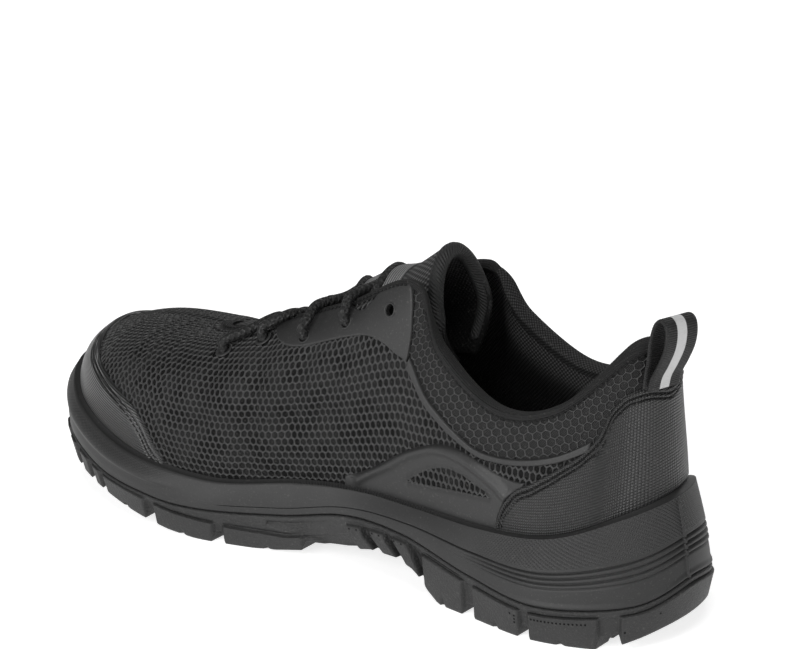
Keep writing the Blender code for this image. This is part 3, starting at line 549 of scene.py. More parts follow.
tree, given, out = new_group("ribs", (("Place", None), ("Pitch", 1.0), ("Along", 0.0), ("Across", 1.0)),
                             ("Height",))
spot = split(tree, given["Place"])
run = math(tree, "ADD", math(tree, "MULTIPLY", spot[0], given["Along"]),
           math(tree, "MULTIPLY", spot[1], given["Across"]))
wave = math(tree, "SINE", math(tree, "MULTIPLY", math(tree, "DIVIDE", run, given["Pitch"]), 2 * np.pi))
tree.links.new(math(tree, "MULTIPLY_ADD", wave, 0.5, 0.5), out["Height"])

tree, given, out = new_group("dust", (("Place", None), ("Amount", 0.3)), ("Mask",))
specks = spread(tree, noise(tree, given["Place"], 1.1, 1.0), 0.62, 0.78)
cloudy = math(tree, "MULTIPLY", noise(tree, given["Place"], 0.03, 4.0), specks)
tree.links.new(math(tree, "MULTIPLY", cloudy, given["Amount"]), out["Mask"])
print("node groups:", [g.name for g in bpy.data.node_groups])


# %% One material from a pattern
DUST_COLOUR = (0.16, 0.155, 0.145, 1.0)
LINING_PITCH, LINING_SHADE = 1.7, (45.0, 90.0)  # in mm, the shade between two heights in the shoe
CELL_PITCH, CELL_SHADE = 0.8, (0.42, 0.58)
RIB_GRAIN = 0.4
BRAID_PITCH, BRAID_ALONG, BRAID_ROUND = 2.1, 0.9, 0.668  # the cord's girth holds four strands
FOAM_GRAIN, DIAMONDS, SLANT = 0.45, (1.1, 0.70, 0.72), (1.25, 0.9, 0.45)  # pitch, along and across
KEEPER_PITCH, WEB_PITCH, WEB_STRIPE = 1.3, 0.9, (2.35, 2.10)  # the stripe's edge, from the web's middle


def grey(value):
    """Colour with three equal parts."""
    return (value, value, value, 1.0)


def finish(name, dark, light, rough, bump_mm, pattern, specular=0.4, dusty=0.35):
    """Principled material: the pattern gives a mask that mixes two greys and two roughnesses, and a height in
    shares of bump_mm. Specks of dust lie over it."""
    material = bpy.data.materials.new(name)
    material.use_nodes = True
    tree = material.node_tree
    shader = tree.nodes["Principled BSDF"].inputs
    mask, height = pattern(tree)
    dirt = use(tree, "dust", {"Place": object_mm(tree), "Amount": dusty})["Mask"]
    unmarked = mixed(tree, mask, grey(dark), grey(light))
    tree.links.new(mixed(tree, dirt, unmarked, DUST_COLOUR), shader["Base Color"])
    gloss = node(tree, "ShaderNodeMapRange", {"Value": mask, "To Min": rough[0], "To Max": rough[1]})
    tree.links.new(gloss.outputs[0], shader["Roughness"])
    bump = node(tree, "ShaderNodeBump", {"Strength": 1.0, "Distance": bump_mm * MM, "Height": height})
    tree.links.new(bump.outputs[0], shader["Normal"])
    shader["Specular IOR Level"].default_value = specular
    return material


def grain(tree, size):
    """Mask and height of the moulded grain."""
    made = use(tree, "moulded_grain", {"Place": object_mm(tree), "Size": size})
    return made["Mottle"], made["Height"]


def weave(tree, place, along, across):
    """Mask and height of the weave."""
    made = use(tree, "weave", {"Place": place, "Pitch along": along, "Pitch across": across})
    return made["Thread"], made["Height"]


def ribs(tree, pitch, along, across):
    """Height of straight ribs on the surface's own measure, one after the other in the direction given."""
    given = {"Place": surface_mm(tree), "Pitch": pitch, "Along": along, "Across": across}
    return use(tree, "ribs", given)["Height"]


def marked(tree, name):
    """A number that the mesh carries at each vertex."""
    return node(tree, "ShaderNodeAttribute", attribute_name=name).outputs["Fac"]


def grain_pattern(size):
    """Moulded grain alone."""
    return lambda tree: grain(tree, size)


def weave_pattern(along, across):
    """Plain weave on the surface's own measure."""
    return lambda tree: weave(tree, surface_mm(tree), along, across)


def shaded_weave(pitch, low, high):
    """Weave on the surface's own measure, which loses its light between two heights in the shoe."""
    def pattern(tree):
        thread, height = weave(tree, surface_mm(tree), pitch, pitch)
        light = spread(tree, split(tree, object_mm(tree))[2], low, high)
        return math(tree, "MULTIPLY", thread, light), height
    return pattern


def lining_pattern(tree):
    """Knitted lining: small raised dots in rows along the shoe, which lose their light deeper in it."""
    spot = split(tree, object_mm(tree))
    side_view = node(tree, "ShaderNodeCombineXYZ", {0: spot[0], 1: spot[2]}).outputs[0]
    thread, height = weave(tree, side_view, LINING_PITCH, LINING_PITCH)
    return math(tree, "MULTIPLY", thread, spread(tree, spot[2], *LINING_SHADE)), height


def cell_pattern(tree):
    """Dark lining behind the net: plain weave, with some places deeper in shade than others."""
    _, height = weave(tree, surface_mm(tree), CELL_PITCH, CELL_PITCH)
    shade = spread(tree, noise(tree, object_mm(tree), 0.11, 2.0), *CELL_SHADE)
    return math(tree, "MULTIPLY", shade, height), height


def rib_pattern(pitch, along, across):
    """Straight ribs with a fine grain over them."""
    def pattern(tree):
        mottle, height = grain(tree, RIB_GRAIN)
        return mottle, math(tree, "MULTIPLY_ADD", height, 0.3, ribs(tree, pitch, along, across))
    return pattern


def pad_pattern(pitch):
    """Ribs both ways, so that small square pads stand between two sets of thin lines."""
    def pattern(tree):
        both = math(tree, "MULTIPLY", ribs(tree, pitch, 1.0, 0.0), ribs(tree, pitch, 0.0, 1.0))
        raised = math(tree, "SQRT", both)
        return raised, raised
    return pattern


def braid_pattern(tree):
    """Two sets of strands that wind round the cord both ways, the upper of them at each place."""
    winds = (BRAID_ROUND, -BRAID_ROUND)
    height = math(tree, "MAXIMUM", *(ribs(tree, BRAID_PITCH, BRAID_ALONG, wind) for wind in winds))
    light = spread(tree, noise(tree, surface_mm(tree), 0.9, 1.0), 0.52, 0.72)
    return math(tree, "MULTIPLY", light, height), height


def foam_pattern(tree):
    """Moulded foam: a fine grain, small diamonds where the mesh is marked knurled, slanting ribs where
    ribbed, and a painted shade, darker, where the mesh is marked in the crook under the toe cap."""
    mottle, fine = grain(tree, FOAM_GRAIN)
    pitch, along, across = DIAMONDS
    both = math(tree, "MULTIPLY", *(ribs(tree, pitch, lean, across) for lean in (along, -along)))
    diamonds = math(tree, "MULTIPLY", both, marked(tree, "knurled"))
    slant = math(tree, "MULTIPLY", ribs(tree, *SLANT), marked(tree, "ribbed"))
    height = math(tree, "MULTIPLY_ADD", diamonds, 0.9, math(tree, "MULTIPLY", fine, 0.15))
    # painted shade: the foam is painted up to 90 percent darker where the crook's mark is set
    unmarked = math(tree, "MULTIPLY_ADD", marked(tree, "crook_shade"), -0.9, 1.0)
    return math(tree, "MULTIPLY", mottle, unmarked), math(tree, "MULTIPLY_ADD", slant, 1.2, height)


def keeper_pattern(tree):
    """Woven tape: raised rows across the tongue."""
    rows = ribs(tree, KEEPER_PITCH, 1.0, 0.0)
    return rows, rows


def webbing_pattern(tree):
    """Webbing: cross ribs, and a pale band down the middle of its width."""
    across = split(tree, surface_mm(tree))[1]
    from_middle = math(tree, "ABSOLUTE", math(tree, "SUBTRACT", across, 0.5 * WEB_WIDTH))
    band = spread(tree, from_middle, *WEB_STRIPE)
    quiet = math(tree, "MULTIPLY_ADD", band, -0.75, 1.0)
    return band, math(tree, "MULTIPLY", ribs(tree, WEB_PITCH, 1.0, 0.0), quiet)


# %% The finishes
FINISH_TABLE = {  # name, dark and light grey, roughness of each, bump in mm, pattern, specular, dust
    "net": ("net_strand", 0.012, 0.032, (0.52, 0.44), 0.05, grain_pattern(0.35), 0.42),
    "print": ("collar_print", 0.020, 0.040, (0.52, 0.44), 0.04, grain_pattern(0.35), 0.45),
    "cells": ("lining_behind_net", 0.002, 0.018, (0.85, 0.7), 0.08, cell_pattern, 0.22),
    "collar": ("collar_cloth", 0.004, 0.017, (0.75, 0.6), 0.14, weave_pattern(1.0, 1.0), 0.3),
    "lining": ("lining_knit", 0.003, 0.080, (0.85, 0.65), 0.30, lining_pattern, 0.3),
    "lining_rim": ("lining_rim_knit", 0.003, 0.045, (0.85, 0.65), 0.30, weave_pattern(1.5, 1.5), 0.3),
    "tongue_lining": ("tongue_lining_knit", 0.001, 0.045, (0.9, 0.7), 0.35, shaded_weave(1.9, 92, 116), 0.2),
    "film": ("welded_film", 0.013, 0.024, (0.55, 0.46), 0.06, grain_pattern(0.45), 0.42),
    "cap": ("toe_cap_skin", 0.016, 0.026, (0.36, 0.29), 0.16, rib_pattern(1.05, 0.0, 1.0), 0.58),
    "counter": ("counter_skin", 0.006, 0.046, (0.52, 0.38), 0.42, pad_pattern(1.15), 0.45),
    "binding": ("binding_knit", 0.004, 0.014, (0.85, 0.7), 0.3, rib_pattern(1.0, 0.0, 1.0), 0.3),
    "tape": ("rib_knit_tape", 0.006, 0.020, (0.75, 0.6), 0.3, rib_pattern(1.15, 0.8, 0.6), 0.4),
    "spacer": ("spacer_cloth", 0.004, 0.10, (0.7, 0.5), 0.7, weave_pattern(2.5, 2.1), 0.4),
    "keeper": ("keeper_tape", 0.04, 0.21, (0.6, 0.45), 0.25, keeper_pattern, 0.4),
    "lace": ("lace_braid", 0.005, 0.045, (0.7, 0.55), 0.30, braid_pattern, 0.35),
    "web": ("loop_webbing", 0.010, 0.46, (0.65, 0.5), 0.22, webbing_pattern, 0.4),
    "web_back": ("loop_webbing_back", 0.006, 0.014, (0.75, 0.6), 0.2, rib_pattern(WEB_PITCH, 1.0, 0.0)),
    "thread": ("sewing_thread", 0.004, 0.012, (0.75, 0.7), 0.05, grain_pattern(0.5), 0.2, 0.1),
    "foam": ("moulded_foam", 0.008, 0.028, (0.62, 0.48), 0.25, foam_pattern, 0.40, 0.25),
    "rubber": ("moulded_rubber", 0.007, 0.030, (0.66, 0.50), 0.40, grain_pattern(0.8), 0.42),
    # painted shade: the pinholes' near-black colour stands in for the shade inside each pin's hole
    "pinhole": ("pinhole", 0.001, 0.003, (0.9, 0.8), 0.05, grain_pattern(0.5), 0.1, 0.0),
    "footbed": ("footbed_cloth", 0.003, 0.010, (0.9, 0.8), 0.12, weave_pattern(1.4, 1.4), 0.2),
}
FINISHES = {key: finish(*row) for key, row in FINISH_TABLE.items()}
print("finishes:", len(FINISHES))

# %% [markdown]
# ## The upper's cloth
# The upper is a hollow shell with a padded collar. One closed profile is drawn at each station, up the
# outside, over the rounded edge and down the lining, and carried round the shoe. Outside, the cloth below
# the raised strip is the dark lining of the net, and the collar above it is a lighter cloth. Lace holes
# are cut through.

# %% Overlay edges
TOE_CAP_EDGE = ((7.54, 0.120), (7.59, 0.145), (7.70, 0.188), (7.84, 0.250), (8.01, 0.300), (8.30, 0.350),
                (8.60, 0.382), (8.91, 0.415), (9.21, 0.442), (9.50, 0.490), (10.0, 0.545))
COUNTER_EDGE = ((0.0, 0.775), (0.81, 0.787), (1.14, 0.780), (1.29, 0.746), (1.41, 0.667), (1.58, 0.617),
                (1.88, 0.572), (2.26, 0.483), (2.54, 0.392), (2.68, 0.271), (2.73, 0.190))
LACE_ROW_LOW = ((4.71, 0.672), (4.95, 0.660), (5.26, 0.696), (5.54, 0.738), (5.85, 0.758), (6.24, 0.754),
                (6.51, 0.750), (6.80, 0.782), (6.98, 0.840), (7.16, 0.930))
LACE_ROW_HIGH = ((4.70, 0.700), (4.76, 0.783), (4.82, 0.825), (4.95, 0.915), (5.05, 0.975), (5.25, 0.985),
                 (5.55, 0.985), (5.64, 0.930), (5.73, 0.900), (5.84, 0.920), (6.00, 0.980), (6.20, 0.985),
                 (7.16, 0.985))
SIDE_PANEL_EDGE = ((2.36, 0.480), (2.54, 0.484), (2.75, 0.500), (3.09, 0.542), (3.43, 0.545), (3.75, 0.500),
                   (4.09, 0.412), (4.43, 0.312), (4.75, 0.222), (5.05, 0.168), (5.29, 0.146))
WINDOW_LOW = ((2.88, 0.322), (3.18, 0.300), (3.51, 0.268), (3.86, 0.233), (4.26, 0.196))
WINDOW_HIGH = ((2.88, 0.330), (2.95, 0.350), (3.12, 0.372), (3.34, 0.393), (3.54, 0.388), (3.76, 0.352),
               (3.96, 0.300), (4.18, 0.232), (4.26, 0.202))
STRIP_LINE = ((1.62, 0.630), (1.75, 0.630), (2.09, 0.628), (2.48, 0.620), (2.86, 0.607), (3.21, 0.596),
              (3.58, 0.617), (4.01, 0.646), (4.58, 0.676))
CAP_START, COUNTER_END = TOE_CAP_EDGE[0][0], COUNTER_EDGE[-1][0]
ROW_START, ROW_END = LACE_ROW_LOW[0][0], LACE_ROW_LOW[-1][0]
COLLAR_FRONT = 5.30  # the collar's cloth ends here, above the lace row
EYELETS = ((7.69, 0.771), (7.21, 0.842), (6.53, 0.808), (5.93, 0.850), (5.28, 0.846))
FILM_EYELETS = (2, 3, 4)
PIN_SIDES, PIN_REACH = 20, 7.0


def on_collar(s, w):
    """True above the raised strip and behind the lace row, where the padded collar is."""
    side = side_station(s)
    behind_row = (side < COLLAR_FRONT) & (w > open_spline(LACE_ROW_HIGH, side))
    return np.where(side < ROW_START, w > open_spline(STRIP_LINE, side), behind_row)


def hole_frame(s, w):
    """Direction out of the cloth at a lace hole, and two square to it."""
    axis = unit(skin(s, w, 1.0) - skin(s, w, 0.0))
    side = unit(np.cross(axis, [1.0, 0.0, 0.3]))
    return axis, side, np.cross(axis, side)


def eyelet_pins(chosen, sides):
    """Round pins along the normal at the lace holes, for cutting."""
    turn = np.arange(PIN_SIDES)
    angle = (turn * 2 * np.pi / PIN_SIDES)[:, None]
    quads, _ = grid_quads(2, PIN_SIDES, False, True)
    rims = [(turn + k, (turn + 1) % PIN_SIDES + k) for k in (0, PIN_SIDES)]
    fans = [np.stack([0 * turn + 2 * PIN_SIDES + end, *rim], -1) for end, rim in enumerate(rims)]
    pins = []
    for outer_side in sides:
        for k in chosen:
            s, w = mirrored(EYELETS[k][0], outer_side), EYELETS[k][1]
            _, side, over = hole_frame(s, w)
            ring = EYELET_R * (np.cos(angle) * side + np.sin(angle) * over)
            ends = np.stack([skin(s, w, -PIN_REACH), skin(s, w, PIN_REACH)])
            verts = np.concatenate([(ends[:, None] + ring).reshape(-1, 3), ends])
            pins.append(piece("pin", verts, [quads, *fans], FINISHES["film"], weld=True))
    return pins


print("lace holes:", 2 * len(EYELETS))

# %% The shell
AROUND = np.linspace(0, TURN, 420, endpoint=False)[:, None]
OUTSIDE_W = np.linspace(0.0, 1.0, 60)[None, :]
INSIDE_W = np.linspace(1.0, 0.0, 40)[None, :]
ARCH = np.linspace(0, 1, 9)[None, 1:-1]
CLOTH_SINK = 0.1  # the lining lies this far behind the net
MIDDLE_ROW = 30  # the length round the shoe is measured along this row of the outside


def collar_edge(s, turn, extra):
    """Rounded edge between outside and lining: an arch of half an ellipse over the wall, turn from 0 to 1."""
    outside, inside = skin(s, 1.0, 0.0), skin(s, 1.0, -wall(s, 1.0))
    half = 0.5 * (outside - inside)
    length = np.linalg.norm(half, axis=-1, keepdims=True)
    swing, lift = np.cos(np.pi * turn)[..., None], np.sin(np.pi * turn)[..., None]
    return (0.5 * (outside + inside) + half * (1 + extra / length) * swing
            + UP * (crest_height(s)[..., None] + 0.7 * extra) * lift)


shell_points = np.concatenate([cloth(AROUND, OUTSIDE_W, -CLOTH_SINK), collar_edge(AROUND, ARCH, 0.0),
                               skin(AROUND, INSIDE_W, -wall(AROUND, INSIDE_W))], 1)
count, profile = shell_points.shape[:2]
quads, corners = grid_quads(count, profile, True, True)
face_s = np.repeat(AROUND[:, 0] + 0.5 * TURN / count, profile)
face_row = np.tile(np.arange(profile), count)
face_w = np.concatenate([OUTSIDE_W[0], 1.0 + 0 * ARCH[0], INSIDE_W[0]])[face_row]
upper_finish = np.where(face_row >= OUTSIDE_W.size - 1, 2, np.where(on_collar(face_s, face_w), 1, 0))
upper_cloth = piece("upper_cloth", shell_points.reshape(-1, 3), [quads],
                    [FINISHES[key] for key in ("cells", "collar", "lining")],
                    grid_lengths(shell_points, True, True, MIDDLE_ROW), [corners], ("upper",),
                    chosen=upper_finish)
cut(upper_cloth, eyelet_pins(range(len(EYELETS)), (False, True)))
print("upper cloth:", len(upper_cloth.data.polygons), "faces")

# %% [markdown]
# ## The honeycomb net
# The net is knitted with six-sided holes about 2.6 mm apart, and it is the first thing one sees. A bump
# would stay flat at the edges and cast no shade into the holes, so each hole is real: a ring of twelve
# points on a flat honeycomb, a smaller ring at the hole's rim, and a third one below. The flat sheet is
# then laid on the last. Planes across the shoe are unrolled into lengths, so a point of the sheet finds
# its station and height from two tables.

# %% Unrolling the vamp
SLICES = np.linspace(18.0, 291.0, 183)
SHARES = np.linspace(0.0, 1.0, 121)
BACK_X, CLOSED_X = 112.0, 224.0  # the throat's rear end, and its closed front
MIDDLE_X = 160.0  # where the sheet's width is taken
RIDGE_BEND = 200.0, 226.0  # from here the middle line falls towards the toe
SQUEEZE = 0.78  # the net is pulled taller than wide
FULLEST = 0.95  # and never laid fuller than this
SOFT_SLICES = 9


def unroll(outer_side):
    """For planes across the shoe: heights and stations at equal shares of the girth, the girth, the top."""
    side = np.linspace(0.35, 10.0, 387)
    height = np.linspace(0.0, 1.0, 161)
    x = last(mirrored(side, outer_side)[:, None], height[None, :])[..., 0]
    station = np.stack([np.interp(SLICES, x[:, j], side) for j in range(len(height))], 1)
    top = np.where(SLICES > x[-1, -1], np.interp(SLICES, x[-1, ::-1], height[::-1]), 1.0)
    row_w = top[:, None] * height[None, :]
    row_s = np.stack([np.interp(w, height, s) for w, s in zip(row_w, station)])
    points = last(mirrored(row_s, outer_side), row_w)
    arc = np.cumsum(np.linalg.norm(np.diff(points, axis=1), axis=-1), axis=1)
    arc = np.concatenate([np.zeros((len(arc), 1)), arc], 1)
    share = arc / arc[:, -1:]
    w_table, s_table = (np.stack([np.interp(SHARES, q, row) for q, row in zip(share, rows)])
                        for rows in (row_w, row_s))
    return w_table, s_table, arc[:, -1], points[:, -1]


def bilinear(values, row, column):
    """Value between four entries of a table, at fractional row and column."""
    i = np.clip(np.floor(row).astype(int), 0, values.shape[0] - 2)
    j = np.clip(np.floor(column).astype(int), 0, values.shape[1] - 2)
    f, g = np.clip(row - i, 0, 1), np.clip(column - j, 0, 1)
    return ((1 - f) * ((1 - g) * values[i, j] + g * values[i, j + 1])
            + f * ((1 - g) * values[i + 1, j] + g * values[i + 1, j + 1]))


def soften(values):
    """Running mean over some slices, so that the rows bend softly."""
    padded = np.pad(values, SOFT_SLICES // 2, mode="edge")
    return np.convolve(padded, np.ones(SOFT_SLICES) / SOFT_SLICES, mode="valid")


VAMP = {side: unroll(side) for side in (False, True)}
ridge = VAMP[False][3]
fall = ramp(SLICES[1:], *RIDGE_BEND) * np.diff(ridge[:, 2])
RUN = np.r_[0.0, np.cumsum(np.hypot(np.diff(SLICES), fall))]
MIDDLE = float(np.interp(MIDDLE_X, SLICES, SQUEEZE * (VAMP[False][2] + np.abs(ridge[:, 1]))))
ROWS = {}
for side, (_, _, girth, edge) in VAMP.items():
    reach = np.abs(edge[:, 1] - 1.0) * (SLICES < CLOSED_X)
    whole = girth + np.interp(np.maximum(SLICES, BACK_X), SLICES, reach)
    stretch = soften(np.interp(np.maximum(SLICES, BACK_X), SLICES, np.minimum(MIDDLE / whole, FULLEST)))
    ROWS[side] = (stretch * girth, np.where(SLICES < BACK_X, 0.0, MIDDLE - stretch * whole))
print("sheet:", round(float(RUN[-1])), "x", round(2 * MIDDLE), "mm")


def vamp_place(u, v):
    """Station and height for a point of the sheet: u runs along the shoe, v up the inner side, over the
    middle line and down the outer side. Its share of the girth is (v - start) / (stretch x girth)."""
    x = np.interp(u, RUN, SLICES)
    row = (x - SLICES[0]) / (SLICES[1] - SLICES[0])
    result_s, result_w = np.zeros_like(x), np.zeros_like(x)
    for outer_side in (False, True):
        chosen = (v > MIDDLE) == outer_side
        w_table, s_table = VAMP[outer_side][:2]
        whole, start = (np.interp(x, SLICES, values) for values in ROWS[outer_side])
        share = (np.where(outer_side, 2 * MIDDLE - v, v) - start) / whole
        column = np.clip(share, 0.0, 1.0) * (len(SHARES) - 1)
        result_w = np.where(chosen, bilinear(w_table, row, column), result_w)
        result_s = np.where(chosen, mirrored(bilinear(s_table, row, column), outer_side), result_s)
    return result_s, result_w


# %% What covers the cloth
EDGE_TUCK = 0.012  # the cloth goes on under an overlay's border by this share of the height
WINDOW_TUCK = 0.02  # and round the side panel's window by this many stations
CLOTH_TOP, PRINT_TOP = 0.985, 0.97
NET_BACK, PRINT_BACK = 1.35, 0.66  # stations where net and print start behind


def under_overlays(s, w):
    """True where cap, counter, lace row, side panel or the sole's rim covers the cloth."""
    side = side_station(s)

    def below(points):
        return w < open_spline(points, side) - EDGE_TUCK

    def above(points):
        return w > open_spline(points, side) + EDGE_TUCK

    def beside(points, tuck=0.0):
        return (side > points[0][0] - tuck) & (side < points[-1][0] + tuck)

    in_window = beside(WINDOW_LOW, WINDOW_TUCK) & ~below(WINDOW_LOW) & ~above(WINDOW_HIGH)
    return ((w < loop_spline(SOLE["rim_w"], s) - EDGE_TUCK)
            | (side > CAP_START) & below(TOE_CAP_EDGE) | (side < COUNTER_END) & below(COUNTER_EDGE)
            | beside(LACE_ROW_LOW) & above(LACE_ROW_LOW) & below(LACE_ROW_HIGH)
            | beside(SIDE_PANEL_EDGE) & below(SIDE_PANEL_EDGE) & ~in_window)


def net_side(s, w):
    """True below the raised strip and in front of the collar, where the cloth is the net."""
    return ~on_collar(s, w) & (side_station(s) > NET_BACK)


def print_side(s, w):
    """True where the collar's cloth carries the print."""
    return on_collar(s, w) & (side_station(s) > PRINT_BACK) & (w < PRINT_TOP)


# %% A honeycomb sheet
ROW_STEP = 0.866  # between rows of cells, in shares of the pitch
HOLE_MARGIN = 0.3  # cells keep this far from the lace holes


def honeycomb(place, span, pitch, line, belongs, heights, turn=0.0, squash=1.0, corner_reach=1.085,
              floor=0.9):
    """Rings of a honeycomb in a flat sheet, laid on the last. Rows are 0.866 pitch apart and every second one
    is moved by half a pitch. A cell has twelve points on its border, twelve on the hole's rim and twelve at
    its floor."""
    (u0, u1), (v0, v1) = span
    rows = np.arange(int((v1 - v0) / (ROW_STEP * pitch)) + 1)
    columns = np.arange(int((u1 - u0) / pitch) + 1)
    r, c = np.meshgrid(rows, columns, indexing="ij")
    centre = np.stack([u0 + (c + 0.5 * (r % 2)) * pitch, v0 + r * ROW_STEP * pitch], -1).reshape(-1, 2)
    angle = np.radians(np.arange(12) * 30.0)
    corner = np.arange(12) % 2 == 1
    apothem = 0.5 * pitch - 0.5 * line
    border = np.where(corner, pitch / np.sqrt(3), 0.5 * pitch)
    rim = np.where(corner, corner_reach * apothem, apothem)
    turned = np.array([[np.cos(turn), np.sin(turn)], [-np.sin(turn), np.cos(turn)]])
    spoke = np.stack([np.cos(angle), np.sin(angle)], -1)
    rings = np.stack([centre[:, None] + radius[:, None] * spoke for radius in (border, rim, floor * rim)], 1)
    laid = (rings * (1.0, squash)) @ turned
    s, w = place(laid[..., 0], laid[..., 1])
    showing = ~under_overlays(s[:, 0], w[:, 0]) & (w[:, 0] < CLOTH_TOP)
    seen = showing.any(1) & ~np.isnan(w).any((1, 2))
    seen &= belongs(side_station(s[:, 2]).mean(1), w[:, 2].mean(1))
    for hole_s, hole_w in EYELETS:
        distance = np.hypot((side_station(s[:, 2]) - hole_s) * ALONG, (w[:, 2] - hole_w) * RISE)
        seen &= distance.min(1) >= EYELET_R + HOLE_MARGIN
    s, w, rings = s[seen], np.clip(w[seen], 0.0, 0.99), rings[seen]
    points = cloth(s, w, np.array(heights)[None, :, None] + 0 * s)
    cells = len(s)
    keys = np.round(rings[:, 0].reshape(-1, 2) * 200).astype(np.int64)
    _, first, shared = np.unique(keys, axis=0, return_index=True, return_inverse=True)
    own = len(first) + np.arange(cells * 24).reshape(cells, 2, 12)
    verts = np.concatenate([points[:, 0].reshape(-1, 3)[first], points[:, 1:].reshape(-1, 3)])
    following = np.roll(np.arange(12), -1)
    faces = [np.stack([a, a[:, following], b[:, following], b], -1).reshape(-1, 4)
             for a, b in ((shared.reshape(cells, 12), own[:, 0]), (own[:, 0], own[:, 1]))]
    return verts, faces, cells


NET_PITCH, NET_LINE = 2.64, 0.42
NET_HEIGHTS = 0.46, 0.34, -0.25  # of border, rim and floor over the last
first_row = MIDDLE % (ROW_STEP * NET_PITCH)  # so that one row of cells lies on the middle line
verts, faces, cells = honeycomb(vamp_place, ((0.0, RUN[-1]), (first_row, 2 * MIDDLE)), NET_PITCH, NET_LINE,
                                net_side, NET_HEIGHTS)
piece("vamp_net", verts, faces, FINISHES["net"])
print("vamp net:", cells, "cells")

# %% [markdown]
# ## The collar's raised print
# Above the strip the collar's cloth carries the same honeycomb as a thin raised print, a little larger.
# Its rows climb towards the heel. The flat sheet is laid on by its length round the collar and by height.

# %% Collar print
COLLAR_STATIONS = np.linspace(0.0, 5.35, 215)
COLLAR_LEVELS = np.linspace(50.0, 125.0, 151)
COLLAR_MIDDLE = 0.78  # the length round the collar is measured at this height
PRINT_SPAN = (-90.0, 190.0), (20.0, 230.0)
PRINT_PITCH, PRINT_LINE = 4.0, 0.26
PRINT_HEIGHTS = 0.36, 0.30, -0.15
PRINT_TURN, PRINT_SQUASH, PRINT_CORNER, PRINT_FLOOR = np.radians(-17.0), 0.82, 1.13, 0.95
SIDES = (("inner", False), ("outer", True))


def collar_place(outer_side):
    """Function from the flat sheet to the collar: u is the length round it, v the level above the floor."""
    s = mirrored(COLLAR_STATIONS, outer_side)
    run = run_length(last(s, COLLAR_MIDDLE))
    height = np.linspace(0.3, 1.0, 141)
    level = last(s[:, None], height[None, :])[..., 2]
    table_w = np.stack([np.interp(COLLAR_LEVELS, z, height) for z in level])

    def place(u, v):
        station = np.interp(u, run, COLLAR_STATIONS)
        row = station / (COLLAR_STATIONS[1] - COLLAR_STATIONS[0])
        column = (v - COLLAR_LEVELS[0]) / (COLLAR_LEVELS[1] - COLLAR_LEVELS[0])
        inside = (u > run[0]) & (u < run[-1]) & (column > 0) & (column < len(COLLAR_LEVELS) - 1)
        return mirrored(station, outer_side), np.where(inside, bilinear(table_w, row, column), np.nan)
    return place


for side_name, outer_side in SIDES:
    verts, faces, cells = honeycomb(collar_place(outer_side), PRINT_SPAN, PRINT_PITCH, PRINT_LINE, print_side,
                                    PRINT_HEIGHTS, PRINT_TURN, PRINT_SQUASH, PRINT_CORNER, PRINT_FLOOR)
    if outer_side:
        faces = [f[:, ::-1] for f in faces]
    piece("collar_print_" + side_name, verts, faces, FINISHES["print"])
    print("collar print", side_name, cells, "cells")

# %% [markdown]
# ## What is sewn and welded on
# Toe cap, heel counter, lace rows, side panels and the raised strips are cut from the last's own surface
# between two edge lines. Each is a slab with a rolled edge: its thickness rises over the first millimetre
# like a quarter circle. The sewn ones have a folded rim and two lines pulled in by their stitches.

# %% Overlay slabs
RIM_TUCK = 0.012  # an overlay starts this far below the edge of the sole's rim
OVERLAY_SINK = 0.05  # its inner face lies this far under the last's surface
SEWN_LIFT, SEWN_THICK = 0.15, CAP_SKIN + 0.1
SEAMS = 2.3, 4.3  # millimetres from the edge to the two lines of stitches
SEWN_BEADS = ((1.1, 0.8, 0.45), (SEAMS[0], 0.40, -0.9), (3.3, 0.5, 0.2), (SEAMS[1], 0.40, -0.9))
SEAM_ROWS = np.r_[0.0, 0.12, 0.3, 0.5, 0.75, 1.0, 1.3, 1.6, np.linspace(1.8, 2.8, 9), 3.1, 3.4, 3.65,
                  np.linspace(3.8, 4.8, 9), 5.2, 5.7, 6.3]


def edge_distance(s, w, edge, slope):
    """Millimetres from a place to an edge line, measured square to the line."""
    along, up = metric(s, w)
    return np.abs(w - edge) * up / np.sqrt(1 + (slope * up / along) ** 2)


def overlay(stations, low_line, high_line, shares, inside, thick, edge=0.9, ends=True, shape=None):
    """Two grids of an overlay between two lines: the outer one is inside + thick x rolled edge."""
    s = stations[:, None]
    low, high = low_line(s), high_line(s)
    w = low + (high - low) * np.atleast_2d(shares)
    s = np.broadcast_to(s, w.shape)
    step = 0.01
    from_low, from_high = (edge_distance(s, w, at, (line(s + step) - line(s - step)) / (2 * step))
                           for at, line in ((low, low_line), (high, high_line)))
    nearest = np.minimum(from_low, from_high)
    if ends:
        along, _ = metric(s, w)
        nearest = np.minimum(nearest, np.minimum(np.abs(s - stations[0]), np.abs(s - stations[-1])) * along)
    raised = thick + (0 if shape is None else shape(s, w, from_high))
    return cloth(s, w, inside + raised * quarter_round(nearest / edge)), cloth(s, w, -OVERLAY_SINK + 0 * w)


def sewn_rim(s, w, from_high):
    """Folded rim and two pulled-in lines of stitches: a sum of beads by distance from the edge."""
    return sum(bead(from_high, *row) for row in SEWN_BEADS)


def crowd(values, at, reach, count):
    """Values with more of them near some places."""
    near = np.linspace(-1, 1, count)
    extra = np.concatenate([a + reach * near * np.abs(near) ** 0.5 for a in at])
    extra = extra[(extra > values[0]) & (extra < values[-1])]
    return np.unique(np.concatenate([values, extra]).round(5))


def rim_line(s):
    """Height where an overlay starts, a little below the edge of the sole's rim."""
    return loop_spline(SOLE["rim_w"], s) - RIM_TUCK


def line_of(points, floor=None):
    """An edge table as a function of the station, on either side."""
    def line(s):
        value = open_spline(points, side_station(s))
        return value if floor is None else np.maximum(value, floor(s) + 0.006)
    return line


